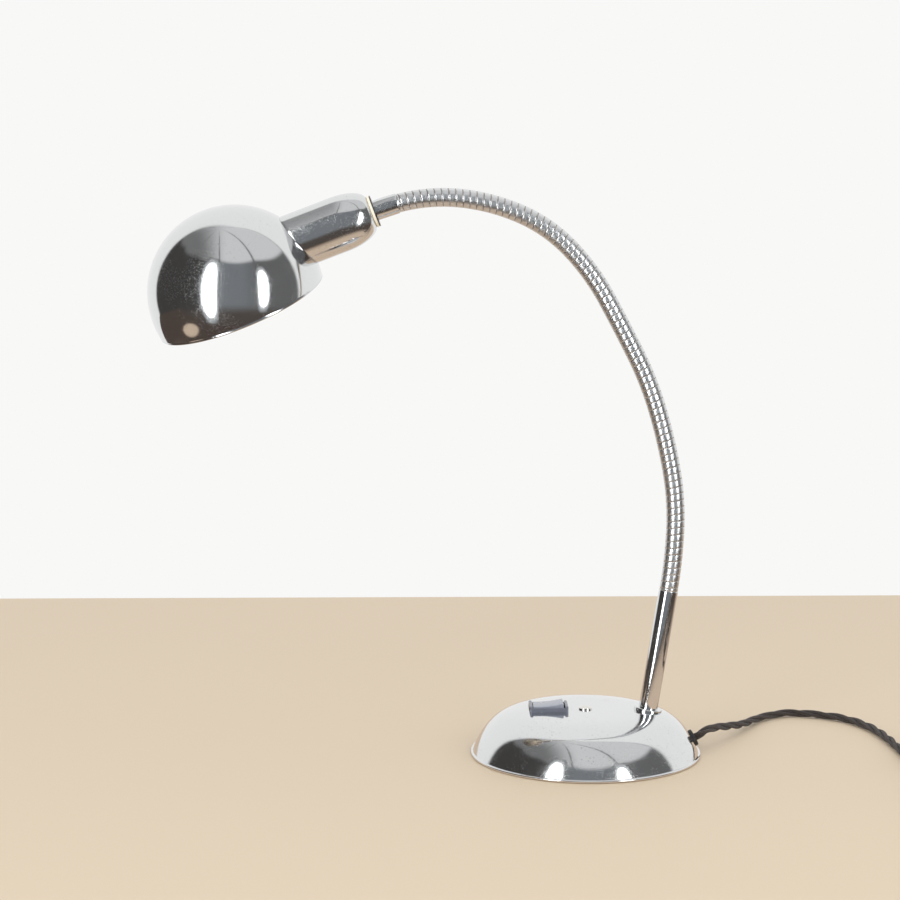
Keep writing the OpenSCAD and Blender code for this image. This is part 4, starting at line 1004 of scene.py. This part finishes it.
def make_floor(looks):
    """Plain to the eye; seen in the metal it shows a painted reflection instead, glowing brown
    where painted light falls near the foot, behind and in a patch on the left, and dim in front
    and on the left.
    """
    mat, t = new_material("floor")
    shader = t.tree.nodes["Principled BSDF"]
    shader.inputs["Base Color"].default_value = (*looks.floor, 1)
    shader.inputs["Roughness"].default_value = 0.6
    where = t.place()
    x, y, _ = t.axes(where)
    near = t.put("VectorMath", {0: where}, operation="LENGTH").outputs["Value"]
    lit_patch = t.put("VectorMath", {0: where, 1: (-0.72, -0.19, 0)},
                  operation="DISTANCE").outputs["Value"]
    # Painted light for the reflection: a pool near the foot, a lit area behind to the right of x =
    # -0.3 m, and a patch on the left
    lit = t.maths("MAXIMUM", t.ramp(near, 0.45, 0.2),
                  t.mul(t.ramp(y, -0.05, 0.3), t.ramp(x, -0.8, -0.3)))
    lit = t.maths("MAXIMUM", lit, t.ramp(lit_patch, 0.14, 0.1))
    painted_reflection = t.put("Emission", {0: t.mixed(lit, (0.085, 0.065, 0.055, 1), (0.68, 0.53, 0.40, 1))})
    both = t.shaders(t.put("LightPath").outputs["Is Glossy Ray"], shader.outputs[0],
                     painted_reflection.outputs[0])
    t.link(both, t.tree.nodes["Material Output"].inputs[0])
    mesh = bpy.data.meshes.new("floor")
    mesh.from_pydata([(-1.6, -0.45, 0), (1.6, -0.45, 0), (1.6, 0.677, 0), (-1.6, 0.677, 0)],
                     [], [(0, 1, 2, 3)])
    mesh.materials.append(mat)
    floor = add_object("floor", mesh)


def make_world(looks, lights):
    """A plain white wall for the camera and even light for plain surfaces. In the metal:
    white behind, reaching further round on the right; a dim room in front; a pale ribbed
    canopy overhead."""
    world = bpy.data.worlds.new("studio")
    world.use_nodes = True
    t = Graph(world.node_tree)
    t.tree.nodes.clear()
    x, y, z = t.axes(t.put("TexCoord").outputs["Generated"])
    azimuth = t.maths("ARCTAN2", x, t.mul(y, -1.0))

    def grey(v, blue=0.0):
        return v * (1 - blue), v, v * (1 + blue), 1
    behind = t.ramp(t.maths("MULTIPLY_ADD", t.maths("MINIMUM", x, 0.0), 0.45, y), 0.03, 0.13)
    room = t.mixed(t.ramp(x, -0.9, 0.9), grey(lights.room * 0.6, -0.05), grey(lights.room * 1.6))
    room = t.mixed(t.ramp(t.maths("ABSOLUTE", azimuth), 0.8, 0.2), room,
                   grey(lights.room * 2.4, 0.06))
    room = t.mixed(t.ramp(z, -0.2, -0.45), room, (0.09, 0.075, 0.065, 1))
    about = t.maths("ARCTAN2", t.maths("SUBTRACT", x, -0.25), t.maths("SUBTRACT", y, 0.08))
    rib = t.humps(t.mul(about, 4.0))
    inside = t.ramp(t.maths("MULTIPLY_ADD", rib, 0.03, z), 0.63, 0.71)
    cloth = t.mixed(t.ramp(x, -0.6, -0.1), grey(lights.canopy * 0.28), grey(lights.canopy))
    canopy = t.mixed(t.ramp(rib, 0.03, 0.14), grey(0.2), cloth)
    white = (*looks.wall, 1)
    seen = t.mixed(behind, t.mixed(inside, room, canopy), white)
    path = t.put("LightPath").outputs
    soft = t.mixed(path["Is Glossy Ray"], (0.95, 0.95, 0.96, 1), seen)
    sky = t.put("Background", {"Color": t.mixed(path["Is Camera Ray"], soft, white),
                               "Strength": 1.0})
    t.link(sky.outputs[0], t.put("OutputWorld").inputs[0])
    bpy.context.scene.world = world
    bpy.context.scene.view_settings.view_transform = "Standard"


class LAMP_OT_stage(Undoable, bpy.types.Operator):
    """Set the pale floor, the wall's light, the dim room and its two tall windows"""
    bl_idname = "lamp.stage"
    bl_label = "Stage"

    def execute(self, context):
        looks, lights = context.scene.lamp_looks, context.scene.lamp_lights
        make_floor(looks)
        for name, power, azimuth in (("left light", lights.left, -28),
                                     ("right light", lights.right, 43)):
            data = bpy.data.lights.new(name, "AREA")
            data.shape, data.size, data.size_y, data.energy = "RECTANGLE", 0.8, 1.6, power
            lamp = add_object(name, data)
            a, far = math.radians(azimuth), 2.2
            lamp.matrix_world = aimed(far * math.sin(a) - 0.2, -far * math.cos(a), 1.2,
                                      (azimuth, "Z"), (66, "X"))
            lamp.visible_glossy = False
        make_window("left window", -0.94, -1.28, 0.42, -0.3, 1.36, lights.left_window)
        make_window("right window", 1.3, -1.75, 0.5, -0.2, 1.5, lights.right_window)
        make_world(looks, lights)
        return {"FINISHED"}


class LAMP_PT_panel(bpy.types.Panel):
    bl_idname = "LAMP_PT_panel"
    bl_label = "Desk lamp"
    bl_space_type = "VIEW_3D"
    bl_region_type = "UI"
    bl_category = "Lamp"

    def draw(self, context):
        for group in (context.scene.lamp_looks, context.scene.lamp_lights):
            for name in group.bl_rna.properties.keys():
                if name not in ("rna_type", "name"):
                    self.layout.prop(group, name)
        for op in STEPS:
            self.layout.operator(op.bl_idname)


STEPS = (LAMP_OT_camera, LAMP_OT_materials, LAMP_OT_flex, LAMP_OT_foot, LAMP_OT_switch,
         LAMP_OT_stem, LAMP_OT_neck, LAMP_OT_head, LAMP_OT_shade, LAMP_OT_bulb, LAMP_OT_stage)
CLASSES = (LampLooks, LampLights, *STEPS, LAMP_PT_panel)


def register():
    for c in CLASSES:
        bpy.utils.register_class(c)
    bpy.types.Scene.lamp_looks = bpy.props.PointerProperty(type=LampLooks)
    bpy.types.Scene.lamp_lights = bpy.props.PointerProperty(type=LampLights)


def unregister():
    del bpy.types.Scene.lamp_looks, bpy.types.Scene.lamp_lights
    for c in reversed(CLASSES):
        bpy.utils.unregister_class(c)


def main():
    register()
    for op in STEPS:
        getattr(bpy.ops.lamp, op.bl_idname.split(".")[1])()


if __name__ == "__main__":
    main()
